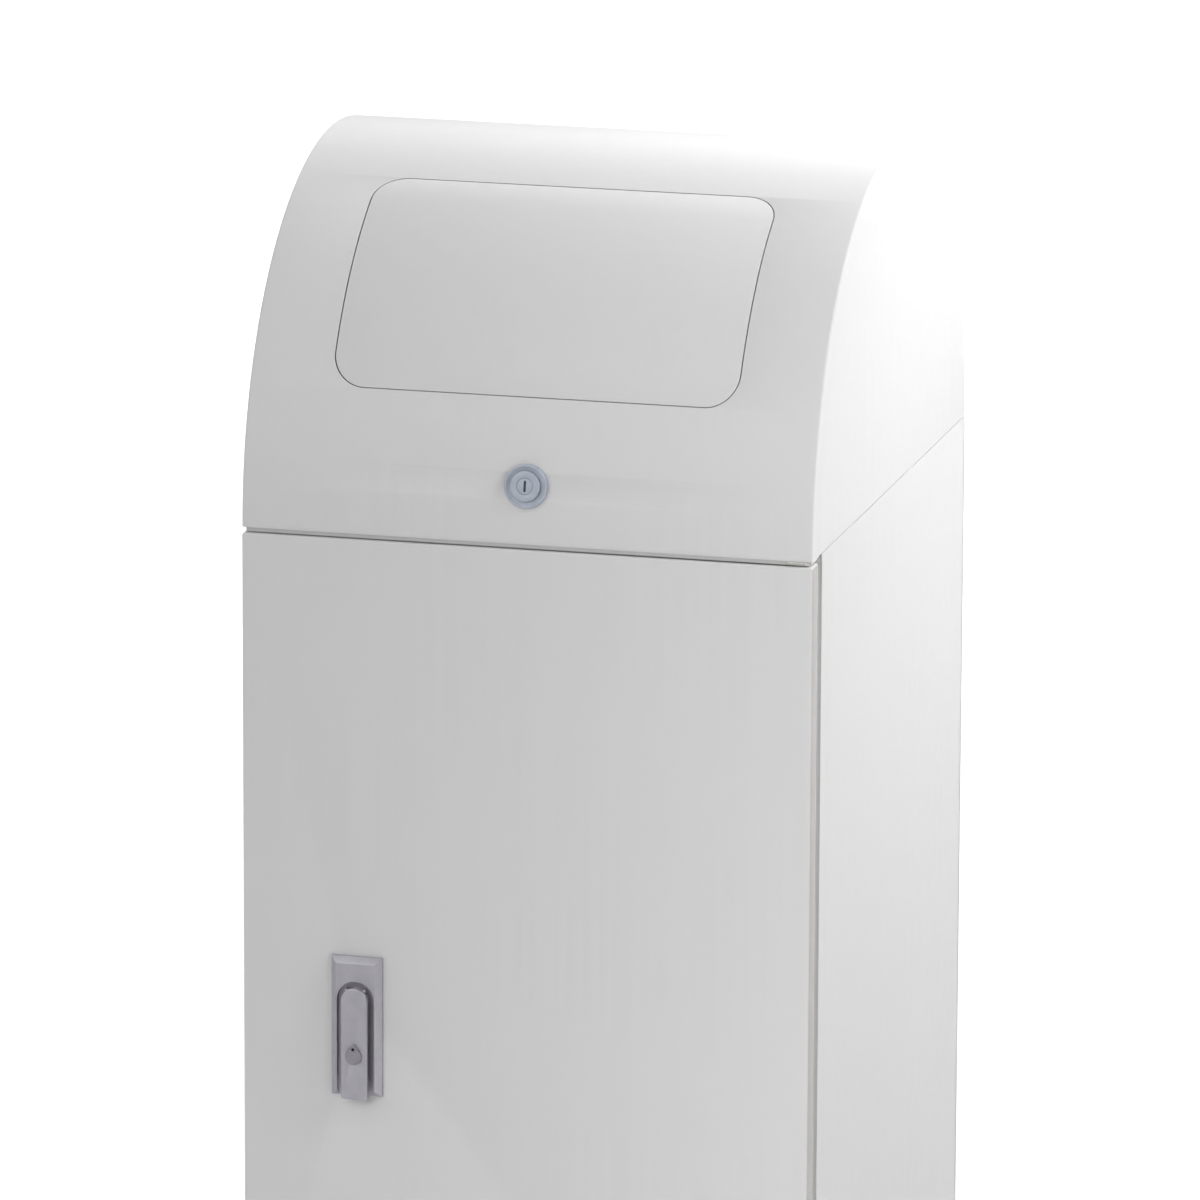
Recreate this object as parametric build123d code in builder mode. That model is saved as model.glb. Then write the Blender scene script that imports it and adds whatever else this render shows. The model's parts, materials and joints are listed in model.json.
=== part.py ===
from build123d import *
import os
from math import cos, degrees, radians, sin

# A sheet-steel parcel locker. A barrel hood with a push-in drop flap and a cam lock is hinged
# at the back of a box body, and a full-width door with a swing handle closes the body.
# Millimetres. X is to the right seen from the front, -Y is the front, +Z is up. The origin is
# on the floor under the middle of the body.

os.makedirs("parts", exist_ok=True)

# ---------------------------------------------------------------- overall
width = 420.0                  # outside width of body, door and hood
depth = 500.0                  # door face to back panel, and the hood's diameter
body_height = 850.0            # floor to the split line under the hood
plinth_height = 80.0
plinth_recess = 30.0           # how far the plinth stands back from the body's faces
sheet = 1.6                    # casing sheet

# ---------------------------------------------------------------- body and door
door_thickness = 18.0
door_gap = 4.3                 # above and below the door
liner_sheet = 1.2
frame_setback = 32.0           # door face to the body's front edges
frame_rail = 26.0              # width of the front frame's members
frame_lip = 8.0                # height of its sealing lip
seal_gap = 0.3                 # between a seal and the part that closes on it
gasket_width = 10.0
split_gap = 1.0                # under the hood, along the sides
top_rail = 20.0                # width of the top frame and of the hood's rim
rail_drop = 3.0                # top frame below the split line
anchor_radius = 6.5            # floor anchor holes
anchor_inset = 20.0            # from the plinth's outer faces
plinth_flange = 40.0
plinth_sheet = 2.5
side_return = 18.0             # folded rear edge of the side panels
mat_thickness = 3.0

# ---------------------------------------------------------------- door pivots
pivot_inset = 10.0             # pivot axis from the body's side
pivot_radius = 4.0
pivot_length = 22.0
bush_radius = 6.0
bush_length = 12.0
bracket_width = 20.0
bracket_plate = 2.0
running = 0.05                 # radial clearance of every running fit

# ---------------------------------------------------------------- hood, flap and rear hinge
flap_margin = 60.0             # flap opening from the hood's sides
flap_bottom = 24.0             # opening's lower edge, degrees above the horizontal
flap_top = 67.0                # opening's upper edge
flap_corner = 25.0
flap_gap = 1.7
flap_axis_drop = 8.0           # hinge axis below the opening's upper edge, along the arc
flap_axis_depth = 8.0          # hinge axis below the outer surface
flap_pin_radius = 3.0
flap_knuckle_radius = 4.6
rim_lip = 12.0                 # upstand on the hood's rim
barrel_offset = 4.5            # rear hinge axis behind the back panel
barrel_radius = 4.0
hinge_pin_radius = 2.5
hinge_count = 9                # knuckles along the rear hinge
hinge_inset = 30.0             # rear hinge's ends from the body's sides
leaf_height = 28.0

# ---------------------------------------------------------------- hood lock
lock_arc = 42.0                # lock centre above the hood's bottom edge, along the arc
lock_rose_radius = 16.0
lock_rose_height = 2.5
lock_head_radius = 11.0
lock_head_height = 2.5
lock_barrel_radius = 9.5
lock_reach = 44.0              # outer surface to the cam
plug_radius = 6.0
cam_thickness = 3.0
cam_width = 16.0
lock_cam_length = 34.0
keeper_sheet = 2.5
keeper_width = 16.0
keeper_lap = 15.0              # ledge's reach over the lock cam
keeper_foot = 14.0
keeper_gap = 1.2               # between the turned cam and the ledge
key_slot = (1.8, 8.0, 5.0)     # width, height and depth of a key slot

# ---------------------------------------------------------------- swing handle
handle_inset = 85.7            # handle's centre line from the door's free edge
handle_drop = 364.7            # handle plate's centre below the split line
handle_size = (38.0, 104.0)
handle_rise = 6.2              # handle plate's thickness
handle_bevel = 4.4
pocket_radius = 13.8
pocket_floor = 1.4
hub_rise = 20.3                # spindle axis above the plate's centre
hub_radius = 9.0
lever_width = 19.6
lever_overhang = 1.1           # lever below the plate's lower end
lever_clearance = 0.7          # between lever and plate
lever_thickness = 3.7
lever_pin_rise = 6.7           # fold-out axis above the spindle axis
lever_pin_radius = 1.0
lug_radius = 1.6
spindle_radius = 5.0
latch_clearance = 3.0          # latch cam behind the front frame
latch_length = 72.0
latch_width = 24.0
shutter_radius = 6.0
shutter_height = 15.7          # round end to point
shutter_drop = 18.8            # shutter's centre below the plate's centre
lever_plug_radius = 4.6

# ---------------------------------------------------------------- prop rod
prop_inset = 32.0              # rod's centre line from the body's side
prop_pivot_inset = 100.0       # pivot behind the door face
prop_end_inset = 70.0          # rod's end in front of the back panel
prop_radius = 3.5
prop_drop = 12.0               # pivot below the split line
prop_pin_radius = 3.0

# ---------------------------------------------------------------- derived planes and positions
half_width = width / 2
half_depth = depth / 2
inside = half_width - sheet
split = body_height
hood_radius = half_depth
inner_radius = hood_radius - sheet
door_face = -half_depth
door_back = door_face + door_thickness
door_top = split - door_gap
door_bottom = plinth_height + door_gap
frame_face = door_face + frame_setback
frame_back = frame_face + sheet
lip_tip = frame_face - frame_lip
rail_top = split - rail_drop
rail_bottom = rail_top - sheet
body_back = half_depth - sheet          # inner face of the back panel
shell_back = body_back - sheet          # inner face of the side panels' rear returns
floor_top = plinth_height + sheet
pivot_x = half_width - pivot_inset
pivot_y = (door_face + door_back) / 2


def facing(y):
    """Sketch plane at depth y seen from the front: local axes are X and Z."""
    return Plane.XZ.offset(-y)


def angle_plane(angle, radius):
    """Plane on the hood at an angle above the horizontal, its normal pointing outward."""
    outward = (0, -cos(radians(angle)), sin(radians(angle)))
    origin = (0, radius * outward[1], split + radius * outward[2])
    return Plane(origin=origin, x_dir=(1, 0, 0), z_dir=outward)


# Side view of the hood: local axes are Y and Z from the hood's own axis.
hood_section = Plane(origin=(0, 0, split), x_dir=(0, 1, 0), z_dir=(1, 0, 0))


# ================================================================ plinth and body shell
# Plinth: a four-sided skirt with a floor flange for the anchors and a top flange.
plinth_x = half_width - plinth_recess
plinth_y = half_depth - plinth_recess
with BuildPart() as plinth:
    with BuildSketch():
        Rectangle(2 * plinth_x, 2 * plinth_y)
        Rectangle(2 * (plinth_x - plinth_sheet), 2 * (plinth_y - plinth_sheet), mode=Mode.SUBTRACT)
    extrude(amount=plinth_height)
    for level in (0, plinth_height - plinth_sheet):
        with BuildSketch(Plane.XY.offset(level)):
            Rectangle(2 * plinth_x, 2 * plinth_y)
            Rectangle(2 * (plinth_x - plinth_flange), 2 * (plinth_y - plinth_flange), mode=Mode.SUBTRACT)
        extrude(amount=plinth_sheet)
    with BuildSketch():
        with GridLocations(2 * (plinth_x - anchor_inset), 2 * (plinth_y - anchor_inset), 2, 2):
            Circle(anchor_radius)
    extrude(amount=plinth_sheet, mode=Mode.SUBTRACT)
    fillet(plinth.edges().filter_by(Axis.Z).filter_by(lambda e: e.length > plinth_height / 2), radius=2)
plinth.part.label = "plinth"
export_step(plinth.part, "parts/plinth.step")

with BuildPart() as floor_panel:
    with BuildSketch(Plane.XY.offset(plinth_height)):
        with Locations((0, (frame_back + shell_back) / 2)):
            Rectangle(2 * inside, shell_back - frame_back)
    extrude(amount=sheet)
    fillet(floor_panel.edges().filter_by(Axis.Z).group_by(Axis.Y)[-1], radius=2 * sheet)
floor_panel.part.label = "floor_panel"
export_step(floor_panel.part, "parts/floor_panel.step")

with BuildPart() as floor_mat:
    with BuildSketch(Plane.XY.offset(floor_top)):
        with Locations((0, (frame_back + shell_back) / 2)):
            RectangleRounded(2 * inside - 36, shell_back - frame_back - 36, 12)
    extrude(amount=mat_thickness)
    chamfer(floor_mat.faces().sort_by(Axis.Z)[-1].edges(), length=1)
floor_mat.part.label = "floor_mat"
export_step(floor_mat.part, "parts/floor_mat.step")

# Side panels: plain webs with a folded rear return that the back panel is riveted to.
for hand, side in (("left", -1), ("right", 1)):
    with BuildPart() as side_panel:
        with BuildSketch(Plane.XY.offset(plinth_height)):
            with BuildLine():
                FilletPolyline(
                    (side * half_width, frame_face),
                    (side * half_width, body_back),
                    (side * (half_width - side_return), body_back),
                    radius=2 * sheet,
                )
                offset(amount=sheet, side=Side.LEFT if side > 0 else Side.RIGHT)
            make_face()
        extrude(amount=split - split_gap - plinth_height)
    side_panel.part.label = f"{hand}_side_panel"
    export_step(side_panel.part, f"parts/{hand}_side_panel.step")

with BuildPart() as back_panel:
    with BuildSketch(facing(half_depth)):
        with Locations((0, (plinth_height + split - split_gap) / 2)):
            Rectangle(width, split - split_gap - plinth_height)
    extrude(amount=sheet)
    chamfer(back_panel.faces().sort_by(Axis.Y)[-1].edges(), length=0.5)
back_panel.part.label = "back_panel"
export_step(back_panel.part, "parts/back_panel.step")

# Front frame: flat rails round the door opening with a forward lip for the door's gasket.
frame_mid = (plinth_height + rail_top) / 2
frame_height = rail_top - plinth_height
opening_x = inside - frame_rail
opening_height = frame_height - 2 * frame_rail
with BuildPart() as front_frame:
    with BuildSketch(facing(frame_back)):
        with Locations((0, frame_mid)):
            Rectangle(2 * inside, frame_height)
            RectangleRounded(2 * opening_x, opening_height, 6, mode=Mode.SUBTRACT)
    extrude(amount=sheet)
    with BuildSketch(facing(frame_face)):
        with Locations((0, frame_mid)):
            RectangleRounded(2 * (opening_x + sheet), opening_height + 2 * sheet, 6 + sheet)
            RectangleRounded(2 * opening_x, opening_height, 6, mode=Mode.SUBTRACT)
    extrude(amount=frame_lip)
front_frame.part.label = "front_frame"
export_step(front_frame.part, "parts/front_frame.step")

# Top frame: flat flange round the throat.
with BuildPart() as top_frame:
    with BuildSketch(Plane.XY.offset(rail_bottom)):
        with Locations((0, (frame_back + shell_back) / 2)):
            Rectangle(2 * inside, shell_back - frame_back)
            Rectangle(2 * (inside - top_rail), shell_back - frame_back - 2 * top_rail, mode=Mode.SUBTRACT)
    extrude(amount=sheet)
    fillet(top_frame.edges().filter_by(Axis.Z).group_by(Axis.Y)[-1], radius=2 * sheet)
top_frame.part.label = "top_frame"
export_step(top_frame.part, "parts/top_frame.step")

# Lock keeper: a bent bracket on the top frame. The hood's lock cam turns in under its ledge.
lock_angle = degrees(lock_arc / hood_radius)
cam_height = split + (hood_radius - lock_reach - cam_thickness / 2) * sin(radians(lock_angle))
ledge_under = cam_height + cam_width / 2 + keeper_gap
ledge_top = ledge_under + keeper_sheet
web_inner = lock_cam_length + keeper_gap + 2
web_outer = web_inner + keeper_sheet
with BuildPart() as lock_keeper:
    with BuildSketch(Plane.XZ.offset(-(frame_back + top_rail / 2))):
        with BuildLine():
            Polyline(
                (web_inner - keeper_lap, ledge_top),
                (web_outer, ledge_top),
                (web_outer, rail_top + keeper_sheet),
                (web_outer + keeper_foot, rail_top + keeper_sheet),
                (web_outer + keeper_foot, rail_top),
                (web_inner, rail_top),
                (web_inner, ledge_under),
                (web_inner - keeper_lap, ledge_under),
                close=True,
            )
        make_face()
    extrude(amount=keeper_width / 2, both=True)
lock_keeper.part.label = "lock_keeper"
export_step(lock_keeper.part, "parts/lock_keeper.step")

# Hood seal: a rubber strip along both sides and the back of the top frame.
seal_width = 10.0
seal_top = split - seal_gap
with BuildPart() as hood_seal:
    with BuildSketch(Plane.XY.offset(rail_top)):
        with Locations((0, (frame_back + shell_back) / 2)):
            Rectangle(2 * inside - 10, shell_back - frame_back - 10)
            Rectangle(2 * (inside - seal_width) - 10, shell_back - frame_back - 10 - 2 * seal_width,
                      mode=Mode.SUBTRACT)
        with Locations((0, frame_back)):
            Rectangle(2 * inside, 2 * (bracket_width + 40), mode=Mode.SUBTRACT)
    extrude(amount=seal_top - rail_top)
    chamfer(hood_seal.faces().sort_by(Axis.Z)[-1].edges(), length=0.8)
hood_seal.part.label = "hood_seal"
export_step(hood_seal.part, "parts/hood_seal.step")

# Slide plate: fixed to the back panel, it throws parcels forward and screens the throat.
slide_top = 60.0               # top of its tab below the split line
slide_tab = 30.0
slide_run = 95.0               # forward reach
slide_fall = 100.0
with BuildPart() as slide_plate:
    with BuildSketch(Plane.YZ):
        with BuildLine():
            FilletPolyline(
                (shell_back, split - slide_top),
                (shell_back, split - slide_top - slide_tab),
                (shell_back - slide_run, split - slide_top - slide_tab - slide_fall),
                (shell_back - slide_run, split - slide_top - slide_tab - slide_fall - 15),
                radius=5,
            )
            offset(amount=sheet, side=Side.RIGHT)
        make_face()
    extrude(amount=inside - side_return - 4, both=True)
slide_plate.part.label = "slide_plate"
export_step(slide_plate.part, "parts/slide_plate.step")

# ================================================================ door pivots
with BuildPart() as upper_pivot:
    with BuildSketch(Plane.XY.offset(rail_top)):
        with Locations((inside - bracket_width / 2, (door_face + frame_back + top_rail) / 2 + 1)):
            Rectangle(bracket_width, frame_back + top_rail - door_face - 2)
    extrude(amount=bracket_plate)
    with BuildSketch(Plane.XY.offset(rail_top)):
        with Locations((pivot_x, pivot_y)):
            Circle(pivot_radius)
    extrude(amount=-pivot_length)
    fillet(upper_pivot.edges().filter_by(Axis.Z).group_by(Axis.Y)[0], radius=4)
upper_pivot.part.label = "upper_pivot"
export_step(upper_pivot.part, "parts/upper_pivot.step")

lower_plate = 2.5
with BuildPart() as lower_pivot:
    with BuildSketch(Plane.XY.offset(plinth_height)):
        with Locations((inside - bracket_width / 2, (door_face + frame_back + top_rail) / 2 + 1)):
            Rectangle(bracket_width, frame_back + top_rail - door_face - 2)
    extrude(amount=-lower_plate)
    with BuildSketch(Plane.XY.offset(plinth_height)):
        with Locations((pivot_x, pivot_y)):
            Circle(pivot_radius)
    extrude(amount=pivot_length)
    fillet(lower_pivot.edges().filter_by(Axis.Z).group_by(Axis.Y)[0], radius=4)
lower_pivot.part.label = "lower_pivot"
export_step(lower_pivot.part, "parts/lower_pivot.step")

with BuildPart() as thrust_washer:
    with BuildSketch(Plane.XY.offset(plinth_height)):
        with Locations((pivot_x, pivot_y)):
            Circle(bush_radius + 1)
            Circle(pivot_radius, mode=Mode.SUBTRACT)
    extrude(amount=door_gap - seal_gap)
thrust_washer.part.label = "thrust_washer"
export_step(thrust_washer.part, "parts/thrust_washer.step")

# ================================================================ door
hub_x = -half_width + handle_inset
plate_z = split - handle_drop
hub_z = plate_z + hub_rise
door_mid = (door_top + door_bottom) / 2
door_height = door_top - door_bottom
skin_depth = door_thickness - liner_sheet
spindle_hole = spindle_radius + 3

# Door skin: a pan folded back round all four edges, pierced for the spindle and the bushes.
with BuildPart() as door_skin:
    with BuildSketch(facing(door_back - liner_sheet)):
        with Locations((0, door_mid)):
            Rectangle(width, door_height)
    extrude(amount=skin_depth)
    fillet(door_skin.edges().filter_by(Axis.Y), radius=2)
    fillet(door_skin.faces().sort_by(Axis.Y)[0].edges(), radius=1.2)
    with BuildSketch(facing(door_back - liner_sheet)):
        with Locations((0, door_mid)):
            Rectangle(width - 2 * sheet, door_height - 2 * sheet)
    extrude(amount=skin_depth - sheet, mode=Mode.SUBTRACT)
    with BuildSketch(facing(door_back)):
        with Locations((hub_x, hub_z)):
            Circle(spindle_hole)
    extrude(amount=door_thickness, mode=Mode.SUBTRACT)
    with BuildSketch(Plane.XY.offset(door_bottom)):
        with Locations((pivot_x, pivot_y)):
            Circle(bush_radius)
    extrude(amount=door_height, mode=Mode.SUBTRACT)
door_skin.part.label = "door_skin"
export_step(door_skin.part, "parts/door_skin.step")

with BuildPart() as door_liner:
    with BuildSketch(facing(door_back)):
        with Locations((0, door_mid)):
            RectangleRounded(width, door_height, 2)
        with Locations((hub_x, hub_z)):
            Circle(spindle_hole, mode=Mode.SUBTRACT)
    extrude(amount=liner_sheet)
door_liner.part.label = "door_liner"
export_step(door_liner.part, "parts/door_liner.step")

# Stiffeners: two upright channels between skin and liner.
channel_width = 36.0
channel_sheet = 1.5
with BuildPart() as door_stiffeners:
    for x in (-30, half_width / 2 + 5):
        with BuildSketch(facing(door_back - liner_sheet)):
            with Locations((x, door_mid)):
                Rectangle(channel_width, door_height - 60)
        extrude(amount=skin_depth - sheet)
        with BuildSketch(facing(door_back - liner_sheet)):
            with Locations((x, door_mid)):
                Rectangle(channel_width - 2 * channel_sheet, door_height - 60)
        extrude(amount=skin_depth - sheet - channel_sheet, mode=Mode.SUBTRACT)
door_stiffeners.part.label = "door_stiffeners"
export_step(door_stiffeners.part, "parts/door_stiffeners.step")

with BuildPart() as door_bushes:
    for level in (door_top - bush_length, door_bottom):
        with BuildSketch(Plane.XY.offset(level)):
            with Locations((pivot_x, pivot_y)):
                Circle(bush_radius)
                Circle(pivot_radius + running, mode=Mode.SUBTRACT)
        extrude(amount=bush_length)
door_bushes.part.label = "door_bushes"
export_step(door_bushes.part, "parts/door_bushes.step")

# Door gasket: follows the front frame's lip.
gasket_x = opening_x + sheet / 2
gasket_height = opening_height + sheet
with BuildPart() as door_gasket:
    with BuildSketch(facing(door_back)):
        with Locations((0, frame_mid)):
            RectangleRounded(2 * gasket_x + gasket_width, gasket_height + gasket_width, 12)
            RectangleRounded(2 * gasket_x - gasket_width, gasket_height - gasket_width, 4, mode=Mode.SUBTRACT)
    extrude(amount=-(lip_tip - seal_gap - door_back))
    chamfer(door_gasket.faces().sort_by(Axis.Y)[-1].edges(), length=1.5)
door_gasket.part.label = "door_gasket"
export_step(door_gasket.part, "parts/door_gasket.step")

# ================================================================ swing handle
# Base plate: bevelled block with an arch-topped pocket, open at its lower end.
with BuildPart() as handle_plate:
    with BuildSketch(facing(door_face)):
        with Locations((hub_x, plate_z)):
            Rectangle(*handle_size)
    extrude(amount=handle_rise)
    chamfer(handle_plate.faces().sort_by(Axis.Y)[0].edges(), length=handle_bevel)
    with BuildSketch(facing(door_face - pocket_floor)):
        with Locations((hub_x, hub_z)):
            Circle(pocket_radius)
        with Locations((hub_x, hub_z - handle_size[1] / 2)):
            Rectangle(2 * pocket_radius, handle_size[1])
    extrude(amount=handle_rise, mode=Mode.SUBTRACT)
    with BuildSketch(facing(door_face)):
        with Locations((hub_x, hub_z)):
            Circle(spindle_radius + running)
    extrude(amount=handle_rise, mode=Mode.SUBTRACT)
handle_plate.part.label = "handle_plate"
export_step(handle_plate.part, "parts/handle_plate.step")

# Spindle hub: a disc in the pocket with two lugs that carry the lever's fold-out pin.
hub_gap = 0.3
hub_base = door_face - pocket_floor - hub_gap
hub_thickness = 1.1
pin_y = door_face - handle_rise - lever_clearance + 2.0
pin_z = hub_z + lever_pin_rise
lug_inner = 5.3
lug_outer = 7.6
with BuildPart() as spindle_hub:
    with BuildSketch(facing(hub_base)):
        with Locations((hub_x, hub_z)):
            Circle(hub_radius)
    extrude(amount=hub_thickness)
    for start in (-lug_outer, lug_inner):
        with BuildSketch(Plane.YZ.offset(hub_x + start)):
            with Locations((pin_y, pin_z)):
                Circle(lug_radius)
            with Locations(((pin_y + hub_base) / 2, pin_z)):
                Rectangle(hub_base - pin_y, 2 * lug_radius)
            with Locations((pin_y, pin_z)):
                Circle(lever_pin_radius, mode=Mode.SUBTRACT)
        extrude(amount=lug_outer - lug_inner)
    with BuildSketch(facing(hub_base)):
        with Locations((hub_x, hub_z)):
            Circle(spindle_radius)
    extrude(amount=hub_thickness / 2, mode=Mode.SUBTRACT)
spindle_hub.part.label = "spindle_hub"
export_step(spindle_hub.part, "parts/spindle_hub.step")

latch_face = frame_back + latch_clearance
with BuildPart() as spindle_shaft:
    with BuildSketch(facing(hub_base - hub_thickness / 2)):
        with Locations((hub_x, hub_z)):
            Circle(spindle_radius)
    extrude(amount=-(latch_face - hub_base + hub_thickness / 2))
    with BuildSketch(facing(latch_face)):
        with Locations((hub_x, hub_z)):
            Circle(spindle_radius - 1)
    extrude(amount=-(cam_thickness + 8))
spindle_shaft.part.label = "spindle_shaft"
export_step(spindle_shaft.part, "parts/spindle_shaft.step")

with BuildPart() as lever_pin:
    with BuildSketch(Plane.YZ.offset(hub_x)):
        with Locations((pin_y, pin_z)):
            Circle(lever_pin_radius)
    extrude(amount=lug_outer, both=True)
lever_pin.part.label = "lever_pin"
export_step(lever_pin.part, "parts/lever_pin.step")

# Latch cam: hangs down at rest, turns to the side behind the front frame.
with BuildPart() as latch_cam:
    with BuildSketch(facing(latch_face)):
        with Locations((hub_x, hub_z)):
            Circle(latch_width / 2)
        with Locations((hub_x, hub_z - (latch_length - latch_width / 3) / 2)):
            Rectangle(latch_width, latch_length - latch_width / 3)
        with Locations((hub_x, hub_z - latch_length + latch_width / 2)):
            RectangleRounded(latch_width, latch_width, 5)
        with Locations((hub_x, hub_z)):
            Circle(spindle_radius - 1, mode=Mode.SUBTRACT)
    extrude(amount=-cam_thickness)
latch_cam.part.label = "latch_cam"
export_step(latch_cam.part, "parts/latch_cam.step")

with BuildPart() as latch_nut:
    with BuildSketch(facing(latch_face + cam_thickness)):
        with Locations((hub_x, hub_z)):
            RegularPolygon(7.5, 6)
            Circle(spindle_radius - 1, mode=Mode.SUBTRACT)
    extrude(amount=-5)
latch_nut.part.label = "latch_nut"
export_step(latch_nut.part, "parts/latch_nut.step")

# Latch housing: the spindle's inner bearing, screwed to the liner.
housing_height = 9.0
with BuildPart() as latch_housing:
    with BuildSketch(facing(door_back)):
        with Locations((hub_x, hub_z)):
            RectangleRounded(54, 54, 6)
    extrude(amount=-2)
    with BuildSketch(facing(door_back)):
        with Locations((hub_x, hub_z)):
            Circle(11)
    extrude(amount=-housing_height)
    with BuildSketch(facing(door_back)):
        with Locations((hub_x, hub_z)):
            Circle(spindle_radius + running)
    extrude(amount=-housing_height, mode=Mode.SUBTRACT)
latch_housing.part.label = "latch_housing"
export_step(latch_housing.part, "parts/latch_housing.step")

with BuildPart() as housing_screws:
    with BuildSketch(facing(door_back + 2)):
        with Locations((hub_x, hub_z)):
            with GridLocations(40, 40, 2, 2):
                Circle(4)
    extrude(amount=-2.4)
    fillet(housing_screws.faces().group_by(Axis.Y)[-1].edges(), radius=1.5)
housing_screws.part.label = "housing_screws"
export_step(housing_screws.part, "parts/housing_screws.step")

# Lever: flat grip with a rounded head, a knuckle on the fold-out pin and a lock plug bore.
lever_back = door_face - handle_rise - lever_clearance
lever_front = lever_back - lever_thickness
lever_foot = plate_z - handle_size[1] / 2 - lever_overhang
shutter_z = plate_z - shutter_drop - (shutter_height / 2 - shutter_radius)
with BuildPart() as lever_grip:
    with BuildSketch(facing(lever_back)):
        with Locations((hub_x, hub_z)):
            Circle(lever_width / 2)
        with Locations((hub_x, (hub_z + lever_foot) / 2)):
            Rectangle(lever_width, hub_z - lever_foot)
    extrude(amount=lever_thickness)
    fillet(lever_grip.edges().filter_by(Axis.Y).group_by(Axis.Z)[0], radius=2)
    fillet(lever_grip.faces().sort_by(Axis.Y)[0].edges(), radius=1)
    with BuildSketch(Plane.YZ.offset(hub_x)):
        with Locations((pin_y, pin_z)):
            Circle(lug_radius)
        with Locations(((pin_y + lever_back) / 2, pin_z)):
            Rectangle(pin_y - lever_back, 2 * lug_radius)
    extrude(amount=lug_inner - 0.4, both=True)
    with BuildSketch(Plane.YZ.offset(hub_x)):
        with Locations((pin_y, pin_z)):
            Circle(lever_pin_radius + running)
    extrude(amount=lug_outer, both=True, mode=Mode.SUBTRACT)
    with BuildSketch(facing(lever_back)):
        with Locations((hub_x, shutter_z)):
            Circle(lever_plug_radius + running)
    extrude(amount=lever_thickness, mode=Mode.SUBTRACT)
lever_grip.part.label = "lever_grip"
export_step(lever_grip.part, "parts/lever_grip.step")

with BuildPart() as lever_plug:
    with BuildSketch(facing(lever_back)):
        with Locations((hub_x, shutter_z)):
            Circle(lever_plug_radius)
    extrude(amount=lever_thickness)
    with BuildSketch(facing(lever_front)):
        with Locations((hub_x, shutter_z)):
            Rectangle(1.4, 6)
    extrude(amount=-2, mode=Mode.SUBTRACT)
lever_plug.part.label = "lever_plug"
export_step(lever_plug.part, "parts/lever_plug.step")

# Key shutter: a drop-shaped cover that hangs from a rivet near its point.
shutter_thickness = 0.9
shutter_face = lever_front - 0.3
rivet_z = shutter_z + shutter_height - shutter_radius - 3.9
with BuildPart() as key_shutter:
    with BuildSketch(facing(shutter_face)):
        with Locations((hub_x, shutter_z)):
            Circle(shutter_radius)
        with BuildLine():
            Polyline(
                (hub_x, shutter_z + shutter_height - shutter_radius),
                (hub_x - shutter_radius * 0.79, shutter_z + shutter_radius * 0.62),
                (hub_x, shutter_z),
                (hub_x + shutter_radius * 0.79, shutter_z + shutter_radius * 0.62),
                close=True,
            )
        make_face()
        with Locations((hub_x, rivet_z)):
            Circle(1.2 + running, mode=Mode.SUBTRACT)
    extrude(amount=shutter_thickness)
key_shutter.part.label = "key_shutter"
export_step(key_shutter.part, "parts/key_shutter.step")

with BuildPart() as shutter_rivet:
    with BuildSketch(facing(lever_front)):
        with Locations((hub_x, rivet_z)):
            Circle(1.2)
    extrude(amount=0.3 + shutter_thickness + 0.1)
    with BuildSketch(facing(lever_front - 0.4 - shutter_thickness)):
        with Locations((hub_x, rivet_z)):
            Circle(1.9)
    extrude(amount=0.7)
    fillet(shutter_rivet.faces().sort_by(Axis.Y)[0].edges(), radius=0.5)
shutter_rivet.part.label = "shutter_rivet"
export_step(shutter_rivet.part, "parts/shutter_rivet.step")

# ================================================================ hood shell
flap_mid = (flap_bottom + flap_top) / 2
opening_width = width - 2 * flap_margin
opening_chord = 2 * hood_radius * sin(radians(flap_top - flap_bottom) / 2)
lock_plane = angle_plane(lock_angle, hood_radius)
with BuildPart() as hood_skin:
    with BuildSketch(hood_section):
        Circle(hood_radius)
        Circle(inner_radius, mode=Mode.SUBTRACT)
        with Locations((0, -hood_radius)):
            Rectangle(2 * depth, 2 * hood_radius, mode=Mode.SUBTRACT)
    extrude(amount=half_width, both=True)
    with BuildSketch(angle_plane(flap_mid, hood_radius * 0.8)):
        RectangleRounded(opening_width, opening_chord, flap_corner)
    extrude(amount=hood_radius * 0.4, mode=Mode.SUBTRACT)
    with BuildSketch(lock_plane.offset(-lock_barrel_radius)):
        Circle(lock_barrel_radius)
    extrude(amount=2 * lock_barrel_radius, mode=Mode.SUBTRACT)
hood_skin.part.label = "hood_skin"
export_step(hood_skin.part, "parts/hood_skin.step")

# Cheeks: half-round end plates inside the skin.
for hand, start in (("left", -half_width), ("right", half_width - sheet)):
    with BuildPart() as hood_cheek:
        with BuildSketch(hood_section.offset(start)):
            Circle(inner_radius)
            with Locations((0, -hood_radius)):
                Rectangle(2 * depth, 2 * hood_radius, mode=Mode.SUBTRACT)
        extrude(amount=sheet)
    hood_cheek.part.label = f"{hand}_hood_cheek"
    export_step(hood_cheek.part, f"parts/{hand}_hood_cheek.step")

# Rim: an inward flange round the hood's mouth with an upstand along its inner edge.
rim_x = inside
rim_y = inner_radius - 0.1
with BuildPart() as hood_rim:
    with BuildSketch(Plane.XY.offset(split)):
        Rectangle(2 * rim_x, 2 * rim_y)
        Rectangle(2 * (rim_x - top_rail), 2 * (rim_y - top_rail), mode=Mode.SUBTRACT)
    extrude(amount=sheet)
    with BuildSketch(Plane.XY.offset(split + sheet)):
        Rectangle(2 * (rim_x - top_rail + sheet), 2 * (rim_y - top_rail + sheet))
        Rectangle(2 * (rim_x - top_rail), 2 * (rim_y - top_rail), mode=Mode.SUBTRACT)
    extrude(amount=rim_lip)
hood_rim.part.label = "hood_rim"
export_step(hood_rim.part, "parts/hood_rim.step")

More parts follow.
